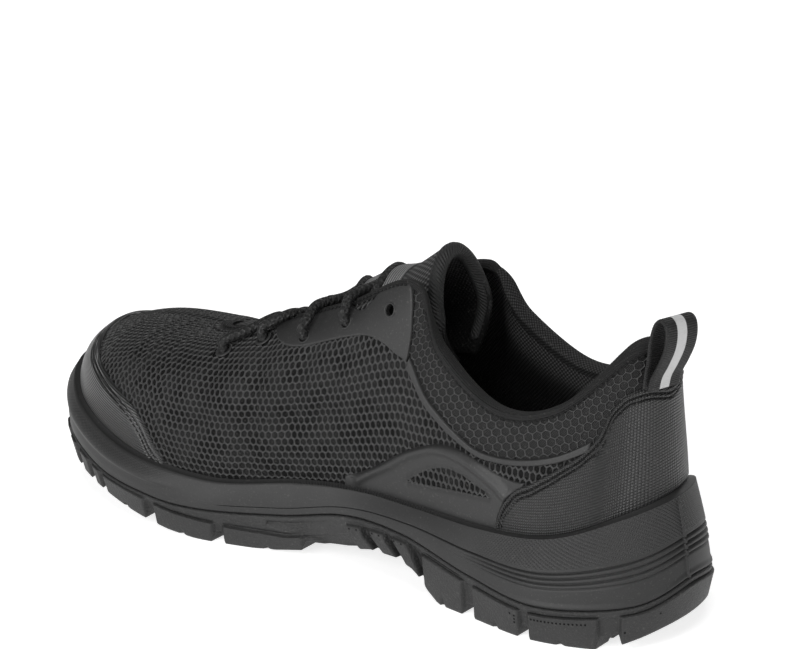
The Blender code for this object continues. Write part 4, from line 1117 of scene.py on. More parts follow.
def seam_shares(stations, high_line):
    """Shares of an overlay's height that lie close together along its upper edge, where the seams are."""
    s = stations[:, None]
    _, up = metric(s, high_line(s))
    tall = np.maximum((high_line(s) - rim_line(s)) * up, 0.1)
    near = np.minimum(SEAM_ROWS[-1] / tall, 0.8)
    top = 1 - near * (SEAM_ROWS / SEAM_ROWS[-1])[None, :]
    rest = (1 - near) * np.linspace(1, 0, 18)[None, 1:]
    return np.concatenate([top, rest], 1)[:, ::-1]


cap_stations = crowd(np.linspace(CAP_START, TURN - CAP_START, 190), (CAP_START, TURN - CAP_START), 0.12, 9)
counter_stations = crowd(np.linspace(-COUNTER_END, COUNTER_END, 200), (-2.72, -2.6, 2.6, 2.72), 0.12, 9)
for solid, look, points, stations in (("toe_cap", "cap", TOE_CAP_EDGE, cap_stations),
                                      ("heel_counter", "counter", COUNTER_EDGE, counter_stations)):
    line = line_of(points, rim_line)
    grids = overlay(stations, rim_line, line, seam_shares(stations, line), SEWN_LIFT, SEWN_THICK, ends=False,
                    shape=sewn_rim)
    slab_piece(solid + "_skin", grids, FINISHES[look], (solid,), fold=look == "counter")
print("cap and counter made")

# %% Lace rows, side panels, strips
PANEL_RIDGE = ((2.60, 0.360), (2.715, 0.400), (3.07, 0.478), (3.495, 0.497), (3.83, 0.453), (4.17, 0.365),
               (4.58, 0.240), (5.05, 0.143))
RIDGE, HOLLOW, WINDOW_PRESS = (0.0, 2.0, 1.5), (4.2, 2.0, -0.35), (0.0, 1.4, -0.75)  # beads
FILM_LIFT = 0.1
PANEL_STEP = 2.74  # behind this station the panel lies on the counter
WINDOW_CUT = 4.0, -2.0  # the window's cutter reaches from here to here along the normal
STRIP_ENDS = 1.50, 4.68
EVEN = np.r_[np.linspace(0, 0.05, 4), np.linspace(0.08, 0.92, 22), np.linspace(0.95, 1.0, 4)]


def panel_low(s):
    """Lower edge of the side panel: the sole's rim, or the counter's edge where the counter lies under it."""
    over_counter = open_spline(COUNTER_EDGE, np.minimum(side_station(s), COUNTER_END)) - 0.01
    return np.where(side_station(s) < PANEL_STEP, np.maximum(rim_line(s), over_counter), rim_line(s))


def line_distance(s, w, points):
    """Signed millimetres above an edge table's line, measured square to the line."""
    side = np.clip(side_station(s), points[0][0], points[-1][0])
    height = open_spline(points, side)
    slope = (open_spline(points, side + 0.01) - open_spline(points, side - 0.01)) / 0.02
    along, _ = metric(s, w)
    beyond = (side_station(s) - side) * along
    return np.sign(w - height) * np.hypot(edge_distance(s, w, height, slope), beyond)


def panel_shape(s, w, from_high):
    """A soft ridge arching over the window, a hollow outside it, and the film pressed down at the window."""
    ridge = line_distance(s, w, PANEL_RIDGE)
    to_window = np.min([np.abs(line_distance(s, w, edge)) for edge in (WINDOW_LOW, WINDOW_HIGH)], 0)
    return bead(ridge, *RIDGE) + bead(ridge, *HOLLOW) + bead(to_window, *WINDOW_PRESS)


def film_piece(name, side_name, grids):
    """Welded film that stands for one side's solid."""
    return slab_piece(f"{name}_film_{side_name}", grids, FINISHES["film"],
                      (f"{name}_{side_name}",))


for side_name, outer_side in SIDES:
    stations = mirrored(crowd(np.linspace(4.70, ROW_END, 100), (ROW_START, ROW_END), 0.2, 15), outer_side)
    grids = overlay(stations, line_of(LACE_ROW_LOW), line_of(LACE_ROW_HIGH), EVEN, FILM_LIFT, FILM, 0.7)
    lace_row = film_piece("lace_row", side_name, grids)
    cut(lace_row, eyelet_pins(FILM_EYELETS, (outer_side,)))

    stations = mirrored(crowd(np.linspace(2.36, 5.29, 130), (PANEL_STEP, 5.29), 0.15, 9), outer_side)
    grids = overlay(stations, panel_low, line_of(SIDE_PANEL_EDGE, panel_low), np.linspace(0, 1, 56),
                    FILM_LIFT, FILM, shape=panel_shape)
    panel = film_piece("side_panel", side_name, grids)
    stations = mirrored(np.linspace(WINDOW_LOW[0][0], WINDOW_LOW[-1][0], 48), outer_side)[:, None]
    share = np.linspace(0, 1, 5)[None, :]
    window_w = line_of(WINDOW_LOW)(stations) * (1 - share) + line_of(WINDOW_HIGH)(stations) * share
    verts, faces, _ = slab(*(skin(stations, window_w, off) for off in WINDOW_CUT))
    cut(panel, [piece("window", verts, faces, FINISHES["film"], weld=True)])

    stations = mirrored(np.linspace(*STRIP_ENDS, 150), outer_side)
    strip_mid = line_of(STRIP_LINE)
    grids = overlay(stations, lambda s: strip_mid(s) - STRIP_HALF, lambda s: strip_mid(s) + STRIP_HALF,
                    np.linspace(0, 1, 17), FILM_LIFT, STRIP_PROUD, 0.7)
    film_piece("collar_strip", side_name, grids)
print("films made")

# %% [markdown]
# ## Stitches
# Thread shows as short dark dashes pulled into the folded rims. One stitch is a small capsule of a few
# dozen faces. All of them are one mesh: a template is turned to each place's own directions with arrays.

# %% Stitch rows
STITCH_R, STITCH_FLAT = 0.40, 0.8
RIM_STITCH, EDGE_STITCH = (2.5, 1.9), (2.4, 1.7)  # pitch and length
STITCH_RINGS, STITCH_SIDES = 7, 6
SEWN_STITCH_LIFT = 1.02
COLLAR_SEAM = 4.6, 0.955, 0.72  # last station on each side, height and lift
THROAT_SEAMS = ((5.10, 0.975, 1.25), (7.25, 0.945, 0.45))  # first station, height and lift
THROAT_FRONT = 9.3


def inset_line(points, first, end, inset, count=900):
    """Places at a fixed distance inside an overlay's upper edge, as stations and heights."""
    s = np.linspace(first, end, count)
    w = open_spline(points, side_station(s))
    along, up = metric(s, w)
    run = np.stack([along, up * np.gradient(w, s)], -1)
    inward = unit(np.stack([run[:, 1], -run[:, 0]], -1))
    return s + inset * inward[:, 0] / along, w + inset * inward[:, 1] / up


def stitch_row(s, w, off, pitch, length):
    """Middles and directions of the stitches at equal steps along a line on the cloth."""
    path = cloth(s, w, off)
    run = run_length(path)
    at = np.arange(0.5 * pitch, run[-1], pitch)
    middle = along_path(at, run, path)
    normal = unit(along_path(at, run, cloth(s, w, off + 1.0) - path))
    forward = unit(along_path(at + 0.4, run, path) - middle + 1e-9)
    return middle, forward, normal, np.full(len(at), length)


rows = []
for inset in SEAMS:
    rows.append(stitch_row(*inset_line(TOE_CAP_EDGE, 7.60, 12.40, inset), SEWN_STITCH_LIFT, *RIM_STITCH))
    rows.append(stitch_row(*inset_line(COUNTER_EDGE, -2.70, 2.70, inset), SEWN_STITCH_LIFT, *RIM_STITCH))
seam_end, height, lift = COLLAR_SEAM
seam = np.linspace(-seam_end, seam_end, 900)
rows.append(stitch_row(seam, height + 0 * seam, lift, *EDGE_STITCH))
for outer_side in (False, True):
    for first, height, lift in THROAT_SEAMS:
        seam = mirrored(np.linspace(first, THROAT_FRONT, 500), outer_side)
        rows.append(stitch_row(seam, height + 0 * seam, lift, *EDGE_STITCH))

middle, forward, normal, length = (np.concatenate(x)[:, None] for x in zip(*rows))
beside = unit(np.cross(normal, forward))
ends = np.linspace(-1, 1, STITCH_RINGS)
around = np.linspace(0, 2 * np.pi, STITCH_SIDES, endpoint=False)
girth = np.sqrt(np.clip(1 - ends ** 4, 0.0004, 1))[:, None]
template = (0.5 * ends[:, None], girth * np.cos(around), girth * np.sin(around))
template = np.stack(np.broadcast_arrays(*template), -1)
run, across, over = np.split(template.reshape(1, -1, 3), 3, axis=-1)
verts = (middle + forward * run * length[..., None]
         + STITCH_R * (beside * across + STITCH_FLAT * normal * over))
quads, _ = grid_quads(STITCH_RINGS, STITCH_SIDES, False, True)
last_ring = (STITCH_RINGS - 1) * STITCH_SIDES
caps = np.array([np.arange(STITCH_SIDES)[::-1], last_ring + np.arange(STITCH_SIDES)])
start = np.arange(len(middle))[:, None, None] * STITCH_RINGS * STITCH_SIDES
faces = [(f[None] + start).reshape(-1, f.shape[1]) for f in (quads, caps)]
piece("stitching", verts.reshape(-1, 3), faces, FINISHES["thread"])
print("stitches:", len(middle))

# %% [markdown]
# ## Collar binding, tongue and footbed
# A knitted tape is folded over the padded collar's edge, and a narrower one round the throat. The tongue
# is a padded sheet of cloth, arched over the foot and open at its top, with a knitted tape round its free
# edge and a grey keeper band for the lace. They are drawn as thick sheets whose thickness swells in the
# middle and closes at the borders, as sewn padding does.

# %% Collar binding
TAPE_SEAT = 0.1  # a tape's borders lie this far off the cloth
LINING_ROW, FAR_LINING_ROW = 12, 5  # rows of a tape where its lining side starts, near and beyond the heel
FAR_STATION = -0.6  # beyond the heel starts here


def folded_tape(stations, out_w, in_w, lift, taper):
    """One face of a tape folded over the upper's edge: up the outside, over the edge in an arch, down the
    lining. Its lift swells like a sine from each border and fades at the tape's two ends."""
    s = stations[:, None]
    first, end = stations[0], stations[-1]
    fade = ramp(stations, first, first + taper) * ramp(-stations, -end, taper - end)
    up, down = np.linspace(*out_w, 7)[None, :-1], np.linspace(*in_w, 8)[None, 1:]
    puff = TAPE_SEAT + lift * fade[:, None] * np.sin(np.linspace(0.12, 1.4, 7))[None, :]
    outside = skin(s, up, puff[:, :6])
    top = collar_edge(s, np.linspace(0, 1, 11)[None, :], puff[:, 6:, None])
    thinning = (puff[:, ::-1] - TAPE_SEAT) * np.linspace(1, 0.05, 7)
    return np.concatenate([outside, top, skin(s, down, -wall(s, down) - TAPE_SEAT - thinning)], 1)


def tape_piece(name, stations, out_w, in_w, lift, taper, inner_finish, replaces=()):
    """A folded tape. Its lining side has a finish of its own, and beyond the heel only that side is seen."""
    outer, inner = (folded_tape(stations, out_w, in_w, high, taper) for high in (lift, 0.0))
    first_inner = np.where(stations[1:] < FAR_STATION, FAR_LINING_ROW, LINING_ROW)[:, None]
    inner_half = np.arange(outer.shape[1] - 1)[None, :] > first_inner
    materials = [FINISHES["binding"], FINISHES[inner_finish]]
    made = slab_piece(name, (outer, inner), materials, replaces, top=inner_half)
    print(name, len(made.data.polygons), "faces")


tape_piece("collar_binding_tape", np.linspace(-4.95, 4.95, 330), (0.948, 1.0), (1.0, 0.925), GAP + BINDING,
           0.5, "lining_rim", ("collar_binding",))
tape_piece("throat_tape", np.linspace(4.80, 15.20, 300), (0.962, 1.0), (1.0, 0.95), 1.15, 0.25, "binding")

# %% Tongue
TONGUE = table("x crown_z half_width depth lean thick", (
    (114, 130.0, 17.5, 29, 9, 5.0), (130, 117.4, 20.5, 25, 2, 5.4), (146, 107.4, 22, 22, 0, 5.0),
    (163, 96.4, 22, 21, 0, 4.6), (180, 85.0, 20, 18, 0, 4.0), (206, 74.4, 18, 12, 0, 3.2),
    (221, 72.4, 16, 8, 0, 2.6), (234, 67.6, 15, 5, 0, 2.4)))
TONGUE_TURN, TONGUE_HANG, TONGUE_CURL, TONGUE_FLARE = np.radians(82.0), np.radians(44.0), 1.15, 0.1
TONGUE_SIDE, TONGUE_TOP = 0.3, 5.0  # angle and length over which the padding closes
TONGUE_END = TONGUE_TURN + TONGUE_HANG
KEEPER_X, KEEPER_REACH, KEEPER_THICK, KEEPER_BOW = (131.0, 158.0), np.radians(40.0), 0.8, 2.4
KEEPER_SINK = 0.3  # its sewn ends press this far into the tongue


def tongue_values(x):
    """Columns of the tongue's table at x."""
    return {name: open_spline(np.c_[TONGUE["x"], values], x) for name, values in TONGUE.items()}


def tongue_sheet(x, angle):
    """Top face: an arch across the foot, half width x sine of the angle wide, depth x (1 - cosine) down. Past
    the arch's ends its wings hang down and curl in, by the square of the angle."""
    c = tongue_values(x)
    arch = np.clip(angle, -TONGUE_TURN, TONGUE_TURN)
    hang = np.abs(angle) - np.abs(arch)
    fall = 1 - np.cos(arch)
    across = np.sin(arch) + np.sign(angle) * (TONGUE_FLARE - TONGUE_CURL * hang) * hang
    height = c["crown_z"] - c["depth"] * (fall + hang)
    return np.stack([x - c["lean"] * fall, c["half_width"] * across, height], -1)


def tongue_skin(x, angle, off):
    """Surface parallel to the tongue's top face."""
    x, angle = np.broadcast_arrays(np.asarray(x, float), np.asarray(angle, float))
    along = tongue_sheet(x + 0.2, angle) - tongue_sheet(x - 0.2, angle)
    across = tongue_sheet(x, angle + 0.01) - tongue_sheet(x, angle - 0.01)
    return tongue_sheet(x, angle) + unit(np.cross(along, across)) * np.asarray(off, float)[..., None]


def tongue_top(x, y):
    """Height of the tongue's top face above a point of the plan."""
    c = tongue_values(np.asarray(x, float))
    share = np.clip(y / c["half_width"], -0.98, 0.98)
    return c["crown_z"] - c["depth"] * (1 - np.sqrt(1 - share ** 2))


tongue_x, angle = np.meshgrid(np.linspace(TONGUE["x"][0], TONGUE["x"][-1], 90),
                              np.linspace(-TONGUE_END, TONGUE_END, 72), indexing="ij")
thick = tongue_values(tongue_x)["thick"]
closing = quarter_round((TONGUE_END - np.abs(angle)) / TONGUE_SIDE)
closing = closing * quarter_round((tongue_x - TONGUE["x"][0]) / TONGUE_TOP)
swell = 0.5 + 0.5 * closing
wing = np.abs(0.5 * (angle[1:, 1:] + angle[1:, :-1])) > TONGUE_TURN  # these parts hang inside the shoe
grids = [tongue_skin(tongue_x, angle, -0.5 * thick * (1 + k * swell)) for k in (-1, 1)]
tongue = slab_piece("tongue_pad", grids, [FINISHES["spacer"], FINISHES["tongue_lining"]],
                    ("tongue",), top=wing)
print("tongue:", len(tongue.data.polygons), "faces")

keeper_x, angle = np.meshgrid(np.linspace(*KEEPER_X, 24), np.linspace(-KEEPER_REACH, KEEPER_REACH, 44),
                              indexing="ij")
bow = (KEEPER_BOW + GAP) * np.cos(0.5 * np.pi * angle / KEEPER_REACH)
bow = -KEEPER_SINK + bow * ramp(keeper_x, KEEPER_X[0] - 2.0, KEEPER_X[0] + 9.0)
keeper = [tongue_skin(keeper_x, angle, level + bow) for level in (KEEPER_THICK, 0.0)]

# %% Tubes, and the tongue's tape
def frames(path):
    """Two directions square to a path, which turn as little as possible along it."""
    tangent = unit(np.gradient(path, axis=0))
    side = np.zeros_like(path)
    side[0] = unit(np.cross(tangent[0], [0.3, 0.2, 1.0]))
    for k in range(1, len(path)):
        step = side[k - 1] - tangent[k] * (side[k - 1] @ tangent[k])
        side[k] = step / np.linalg.norm(step)
    return side, np.cross(tangent, side)


def smooth_path(points, step):
    """Smooth curve through the points, resampled at equal steps."""
    points = np.asarray(points, float)
    padded = np.concatenate([2 * points[:1] - points[1:2], points, 2 * points[-1:] - points[-2:-1]])
    u = np.linspace(0, 1, 24, endpoint=False)[None, :, None]
    fine = cubic(*(padded[k:len(padded) - 3 + k, None] for k in range(4)), u)
    fine = np.concatenate([fine.reshape(-1, 3), points[-1:]])
    run = run_length(fine)
    return along_path(np.linspace(0, run[-1], int(run[-1] / step) + 1), run, fine)


def tube_piece(name, path, radius, sides, look, replaces=()):
    """Round profile carried along a path, radius per point, with its UV map in mm, as a closed piece."""
    side, over = frames(path)
    angle = np.linspace(0, 2 * np.pi, sides, endpoint=False)[None, :, None]
    radius = np.broadcast_to(radius, len(path))[:, None, None]
    rings = path[:, None] + radius * (np.cos(angle) * side[:, None] + np.sin(angle) * over[:, None])
    quads, corners = grid_quads(len(path), sides, False, True)
    uv = grid_lengths(rings, False, True)
    uv[:, 0] = np.repeat(run_length(path), sides + 1)
    caps, cap_corners = (np.array([np.arange(sides)[::-1], (len(path) - 1) * step + np.arange(sides)])
                         for step in (sides, sides + 1))
    piece(name, rings.reshape(-1, 3), [quads[:, ::-1], caps], FINISHES[look], uv,
          [corners[:, ::-1], cap_corners], replaces, weld=True)


TAPE_R, TAPE_X, TAPE_STEP, TAPE_END = 3.0, 115.9, 0.8, 3.0  # the rolled tape round the tongue's free edge
angle = np.linspace(TONGUE_END - 0.05, 0.05 - TONGUE_END, 60)
tape_path = tongue_skin(TAPE_X + 0 * angle, angle, -0.5 * tongue_values(TAPE_X + 0 * angle)["thick"])
tape_path = smooth_path(tape_path[::2], TAPE_STEP)
from_end = np.minimum(np.arange(len(tape_path)), np.arange(len(tape_path))[::-1]) * TAPE_STEP
tape_radius = TAPE_R * quarter_round(np.maximum(from_end / TAPE_END, 0.02))
tube_piece("tongue_tape", tape_path, tape_radius, 14, "tape")
slab_piece("keeper_band", keeper, FINISHES["keeper"], ("tongue_keeper",))
print("tongue's tape:", round(float(run_length(tape_path)[-1])), "mm")

# %% Footbed
BED_W, BED_INSET, BED_SEAT = 0.035, WALL + 3 * GAP, 0.05
BED_DISH, BED_RIM = 0.8, 8.0  # the middle lies lower than the rim by the first, over the second's width
bed_side = np.linspace(0, 10, 150)[:, None]
bed_share = np.linspace(0, 1, 48)[None, :]


def bed_line(s):
    """Border of the footbed: a line of the last moved in past the wall, at the level of the last's foot."""
    point = skin(s, BED_W, -BED_INSET)
    return np.concatenate([point[..., :2], loop_spline(UPPER["foot_z"], s)[..., None]], -1)


near, far = bed_line(bed_side), bed_line(TURN - bed_side)
flat_bed = near + (far - near) * bed_share[..., None]
from_rim = np.minimum(bed_share, 1 - bed_share) * np.linalg.norm(far - near, axis=-1)
bed_top = INSOLE_THICK - BED_DISH * ramp(from_rim, 0.0, BED_RIM)
slab_piece("footbed", (flat_bed + UP * bed_top[..., None], flat_bed + UP * BED_SEAT), FINISHES["footbed"],
           ("insole",))
print("footbed:", bed_side.size, "rows")

# %% [markdown]
# ## The lace
# One round braided cord goes through the holes: out of a hole, over the throat's edge, across the tongue
# to the other side, under that edge and out of the next hole. Its two ends stop under the edge at the top
# holes. The path is a list of places on the last and on the tongue, and one smooth curve goes through
# them.

# %% Lace path
LACE_LEAN = (0.46, 0.26, 0.05, 0.0)  # stations from each hole towards the heel, at the throat's edge
LACE_HOOK = (0.9, 1.4, 0.4, 0.0)  # and millimetres that the lace arches up above its hole
CROSSINGS = len(LACE_LEAN)
CROSS_SHARES = np.array([0.28, 0.5, 0.76, 1.0])  # places of a crossing from edge to edge
CROSS_HUMP = np.array([0.25, 1.0, 0.25, 0.0])  # and its share of the lift over the other strand
OVER, BELOW = 1.3, -0.8
LACE_DEEP, LACE_MOUTH, LACE_CLIMB = -3.4, 0.4, 0.03  # off the last inside and at the hole, then up the cloth
LACE_BEND = 0.45  # share of the way to the edge where it bends
LACE_REST, TOP_REST = LACE_R + 0.2, 1.7  # its middle over the tongue, and at the top crossing
AHEAD, TOP_AHEAD, EDGE_IN = 5.8, 19.0, 5.0  # where a crossing lands before the far edge
LACE_STEP, LACE_SIDES = 1.1, 12


def lace_run(k, outer_side, crossing_lift):
    """From hole k, over its edge and across, to the underside of the far edge by the next hole up."""
    hole, w = EYELETS[k]
    lift = GAP + LACE_R + (FILM + GAP if k in FILM_EYELETS else 0.2)
    s, bent, top = (mirrored(hole - share * LACE_LEAN[k], outer_side) for share in (0.0, LACE_BEND, 1.0))
    arch = lift + LACE_HOOK[k]
    rise = [skin(s, w, LACE_DEEP), skin(s, w, LACE_MOUTH), skin(s, w + LACE_CLIMB, arch),
            skin(bent, LACE_BEND + (1 - LACE_BEND) * w, arch), skin(top, 1.0, lift)]
    far_s, far_w = mirrored(EYELETS[k + 1][0], not outer_side), EYELETS[k + 1][1]
    near, far = last(top, 1.0), last(far_s, 1.0)
    topmost = k == CROSSINGS - 1
    end = np.array([far[0] + (TOP_AHEAD if topmost else AHEAD), far[1] - np.sign(far[1]) * EDGE_IN])
    run = near[:2] + (end - near[:2]) * CROSS_SHARES[:, None]
    x, y = run.T
    along = tongue_top(x + 0.5, y) - tongue_top(x - 0.5, y)
    across = tongue_top(x, y + 0.5) - tongue_top(x, y - 0.5)
    resting = (TOP_REST if topmost else LACE_REST) * np.sqrt(1 + along ** 2 + across ** 2)
    over = np.c_[run, tongue_top(x, y) + resting + crossing_lift * CROSS_HUMP]
    under = [skin(far_s, height, -WALL - LACE_REST) for height in (1.0, 0.5 + 0.5 * far_w)]
    return np.concatenate([rise, over, under])


def strand(outer_side):
    """Runs from the lowest hole of one side up to the top, changing sides at each."""
    runs = []
    for k in range(CROSSINGS):
        changed = k % 2 == 1
        runs.append(lace_run(k, outer_side != changed, OVER if outer_side != changed else BELOW))
    return np.concatenate(runs)


first, second = strand(False), strand(True)
bar_x, bar_y = (np.linspace(first[0, k], second[0, k], 5)[1:-1] for k in (0, 1))
bar_x = bar_x + 1.0
bar = np.c_[bar_x, bar_y, tongue_top(bar_x, bar_y) + 0.3]
lace_path = smooth_path(np.concatenate([first[::-1], bar, second]), LACE_STEP)
tube_piece("lace", lace_path, LACE_R, LACE_SIDES, "lace",
           [f"lace_crossing_{k + 1}" for k in range(CROSSINGS)])
print("lace:", round(float(run_length(lace_path)[-1])), "mm")

# %% Rings round the lace holes
FILM_RING = 0.35, 0.30, FILM + 0.05  # half width, half height and middle of a ring on the film
CLOTH_RING = 0.75, 0.45, 0.25  # and on the cloth
RING_TURNS, RING_SIDES, RING_OVERLAP = 28, 10, 0.05
ring_turn = np.linspace(0, 2 * np.pi, RING_TURNS, endpoint=False)[:, None, None]
ring_tube = np.linspace(0, 2 * np.pi, RING_SIDES, endpoint=False)[None, :, None]
quads, _ = grid_quads(RING_TURNS, RING_SIDES, True, True)
ring_verts, ring_faces = [], []
for outer_side in (False, True):
    for k, (hole, w) in enumerate(EYELETS):
        s = mirrored(hole, outer_side)
        half, high, base = FILM_RING if k in FILM_EYELETS else CLOTH_RING
        axis, side, over = hole_frame(s, w)
        outward = np.cos(ring_turn) * side + np.sin(ring_turn) * over
        radius = EYELET_R - RING_OVERLAP + half + half * np.cos(ring_tube)
        level = base + high * np.sin(ring_tube)
        ring_faces.append(quads + RING_TURNS * RING_SIDES * len(ring_verts))
        ring_verts.append((skin(s, w, 0.0) + outward * radius + axis * level).reshape(-1, 3))
piece("eyelet_rings", np.concatenate(ring_verts), ring_faces, FINISHES["film"], weld=True)
print("eyelet rings:", len(ring_verts))

# %% [markdown]
# ## The pull loop
# A strip of ribbed webbing is folded and sewn under the counter's edge at the heel. Its side view is a
# short table of points. A flat profile is carried along it, with a pale stripe down its outer face.

# %% Pull loop
LOOP_PATH = ((1.1, 0.0), (1.8, 6.0), (3.0, 12.0), (3.6, 18.0), (5.2, 24.0), (7.0, 27.4), (9.6, 28.6),
             (12.0, 26.8), (12.6, 22.5), (11.4, 17.0), (8.2, 10.5), (5.0, 5.0), (3.6, 0.0))
LOOP_STEP, SELVEDGE, SELVEDGE_THICK = 0.9, 0.8, 0.35
loop_line = smooth_path(np.c_[np.array(LOOP_PATH), np.zeros(len(LOOP_PATH))], LOOP_STEP)[:, :2]
loop_base = last(LOOP_STATION, open_spline(COUNTER_EDGE, LOOP_STATION) + 0.012)
loop_out = plan_normal(UPPER, "foot", np.array(LOOP_STATION))
loop_across = np.cross(UP, loop_out)
loop_slope = unit(np.gradient(loop_line, axis=0))
loop_normal = np.stack([-loop_slope[:, 1], loop_slope[:, 0]], 1)
web_share = np.linspace(-0.5, 0.5, 17)
web_edge = quarter_round((0.5 - np.abs(web_share)) * WEB_WIDTH / SELVEDGE)


def web_face(half):
    """One face of the webbing: the fold's line moved by half its thickness, thinner at the two selvedges."""
    moved = half * (SELVEDGE_THICK + (1 - SELVEDGE_THICK) * web_edge)
    line = loop_line[:, None] + loop_normal[:, None] * moved[None, :, None]
    return (loop_base + loop_out * line[..., :1] + UP * line[..., 1:]
            + loop_across * (web_share * WEB_WIDTH)[None, :, None])


slab_piece("pull_loop_web", [web_face(half * WEB_THICK) for half in (0.5, -0.5)],
           [FINISHES["web"], FINISHES["web_back"]], ("pull_loop",),
           top=np.zeros((len(loop_line) - 1) * (len(web_share) - 1)))
print("webbing:", len(loop_line), "rows")

# %% [markdown]
# ## The moulded sole
# The midsole is a cup of foam with a rolled rim, fine grooves round the heel, a line along the waist and
# a thicker bumper round the toe. The outsole below it is a tread plate whose lugs climb its wall. Both
# are lofts: rings round the shoe, where each ring's distance and height are functions of the station.
# Many close rows let the grooves and lug edges be soft steps in those functions.

# %% Sole functions
TREAD = table("x lug_z groove_z", (
    (0, 9.5, 13.5), (8, 5.0, 9.5), (15, 1.6, 6.0), (21, 0.0, 4.6), (30, 0.0, 4.5), (90, 0.0, 4.5),
    (96, 4.0, 6.6), (103, 11.2, 11.2), (112, 13.4, 13.4), (125, 12.6, 12.6), (138, 9.1, 9.1), (150, 4.8, 7.2),
    (158, 3.0, 6.4), (170, 0.8, 5.0), (180, 0.0, 4.5), (204, 0.0, 4.6), (216, 0.9, 5.4), (240, 4.9, 8.6),
    (260, 8.0, 12.0), (280, 11.2, 15.9), (302, 16.4, 20.8)))
PARTING_RISE = (1.2, 7.2, 7.8), (2.9, 8.2, 8.9)  # millimetres, first and last station


def sole_edge(s, inset, z):
    """Point on the sole's widest line, moved in by inset, at height z."""
    normal = plan_normal(SOLE, "edge", s)
    xy = np.stack([loop_spline(SOLE["edge_x"], s), loop_spline(SOLE["edge_y"], s), 0 * s], -1)
    return xy - normal * np.asarray(inset, float)[..., None] + UP * np.asarray(z, float)[..., None]


def parting_line(s):
    """Height of the line between midsole and outsole. It climbs more round the toe than on the solids."""
    climb = [rise * ramp(side_station(s), *ends) for rise, *ends in PARTING_RISE]
    return loop_spline(SOLE["parting_z"], s) + climb[0] + climb[1]


def ground(x, name):
    """Height in the tread's table at x, straight between its points."""
    return np.interp(x, TREAD["x"], TREAD[name])


def parting_rings(s, drop):
    """The surface where midsole and outsole meet: its outer line and the level part inside it."""
    parting = parting_line(s)
    under = np.minimum(parting - 1.0, loop_spline(UPPER["foot_z"], s) - CUP_FLOOR)
    lines = ((PARTING_INSET, parting), (UNDER_INSET, under))
    return [sole_edge(s, inset + 0 * s, level - drop) for inset, level in lines]


def both_sides(side):
    """Stations of one side, 0 to 10, followed by the other side's, back to the heel."""
    return np.concatenate([side, TURN - side[-2:0:-1]])


def across_ring(points, k):
    """Faces straight across ring k of a loft whose two sides are numbered to match, and its two ends."""
    n, rows = points.shape[:2]
    i = np.arange(1, n // 2 - 1)
    quads = np.stack([i, i + 1, n - i - 1, n - i], -1)
    ends = np.array([(0, 1, n - 1), (n // 2 - 1, n // 2, n // 2 + 1)])
    return [quads * rows + k, ends * rows + k]


print("parting line at heel and toe:", parting_line(np.array([0.0, 0.5 * TURN])).round(1), "mm up")

# %% Midsole
MOULD_LINE = 0.10  # station of the thin line where the mould's halves met
BUMPER_START = 7.62  # station where the toe's bumper starts
CUP_SHARES = 0.35, 0.7, 0.9
LINE_HEEL, LINE_SINK = 0.47, 0.33  # share of the wall down to its line at the heel, and more in front
PROUD_AT = ((0.0, 0.0), (0.12, 0.45), (0.26, 1.1), (0.38, 1.55), (0.45, 1.6), (0.50, 1.3), (0.56, 0.8),
            (0.62, 0.6), (0.80, 0.4), (1.0, 0.0))  # how far the toe's bumper stands out down the wall
LINE_BEND, HEEL_END, WAIST_START, WAIST_END = (3.2, 6.2), (2.2, 3.4), (1.8, 3.0), (6.5, 6.75)  # stations
BUMPER_RISE, TOE_FRONT, COVE_FRONT = (7.15, 7.65), (7.4, 8.3), (7.4, 8.6)
KNURL_END, KNURL_TOE, TOE_KNURL = (2.2, 3.2), (7.0, 7.8), 0.4
# the knurl fades over the first pair of shares, and the painted shade of the toe's crook over the second
KNURL_FADE, CROOK_SHADE_FADE = (0.38, 0.5), (0.16, 0.46)  # shares of the way down the wall
COVE_DEEP, COVE_MORE = 0.9, 1.0  # fall of the lip to the shoulder, and more in front
WAIST_GROOVE, HEEL_GROOVES = 0.51, (0.585, 0.66, 0.735)
WAIST_CUT, HEEL_CUT = (0.014, 1.5), (0.015, 1.4)  # half width down the wall, depth in RIB_DEPTHs
HEEL_STEP, STEP_START, STEP_END = 0.5, (0.735, 0.76), (0.93, 0.99)
KNURL_ROWS = np.r_[np.geomspace(0.0004, 0.02, 8)[:-1], np.linspace(0.02, 0.44, 26)]
MIDSOLE_ROWS = np.r_[KNURL_ROWS, np.linspace(0.45, 0.78, 56), np.linspace(0.79, 1.0, 14)]

midsole_side = crowd(np.linspace(0, 10, 250), (MOULD_LINE, BUMPER_START), 0.08, 17)
s = both_sides(midsole_side)
side = side_station(s)
rim_w, lip = loop_spline(SOLE["rim_w"], s), loop_spline(SOLE["lip"], s)[:, None]
floor_ring = skin(s, 0 * s, GAP)
floor_ring[:, 2] = loop_spline(UPPER["foot_z"], s) - GAP
rings = [floor_ring] + [skin(s, share * rim_w, GAP) for share in CUP_SHARES]
first_lip = len(rings)
rim, lip_out = skin(s, rim_w, GAP), plan_normal(UPPER, "foot", s) * lip
cove = (COVE_DEEP + COVE_MORE * ramp(side, *COVE_FRONT))[:, None]
for t in np.linspace(0, 1, 10):
    rings.append(rim + lip_out * t - UP * cove * (1 - (1 - t) ** 2))
first_wall = len(rings)
shoulder = rings[-1]
edge = sole_edge(s, 0 * s, parting_line(s) + 0.8)
line = LINE_HEEL + LINE_SINK * ramp(side, *LINE_BEND)
heel = 1 - ramp(side, *HEEL_END)
waist = (1 - ramp(side, *WAIST_END)) * ramp(side, *WAIST_START)
toe = ramp(side, *BUMPER_RISE)
front = ramp(side, *TOE_FRONT)
mould = bead(s, MOULD_LINE, 0.016, 0.7) * (1 + 0.5 * np.sin(9 * s))
knurl_marks, crook_shade_marks = [], []
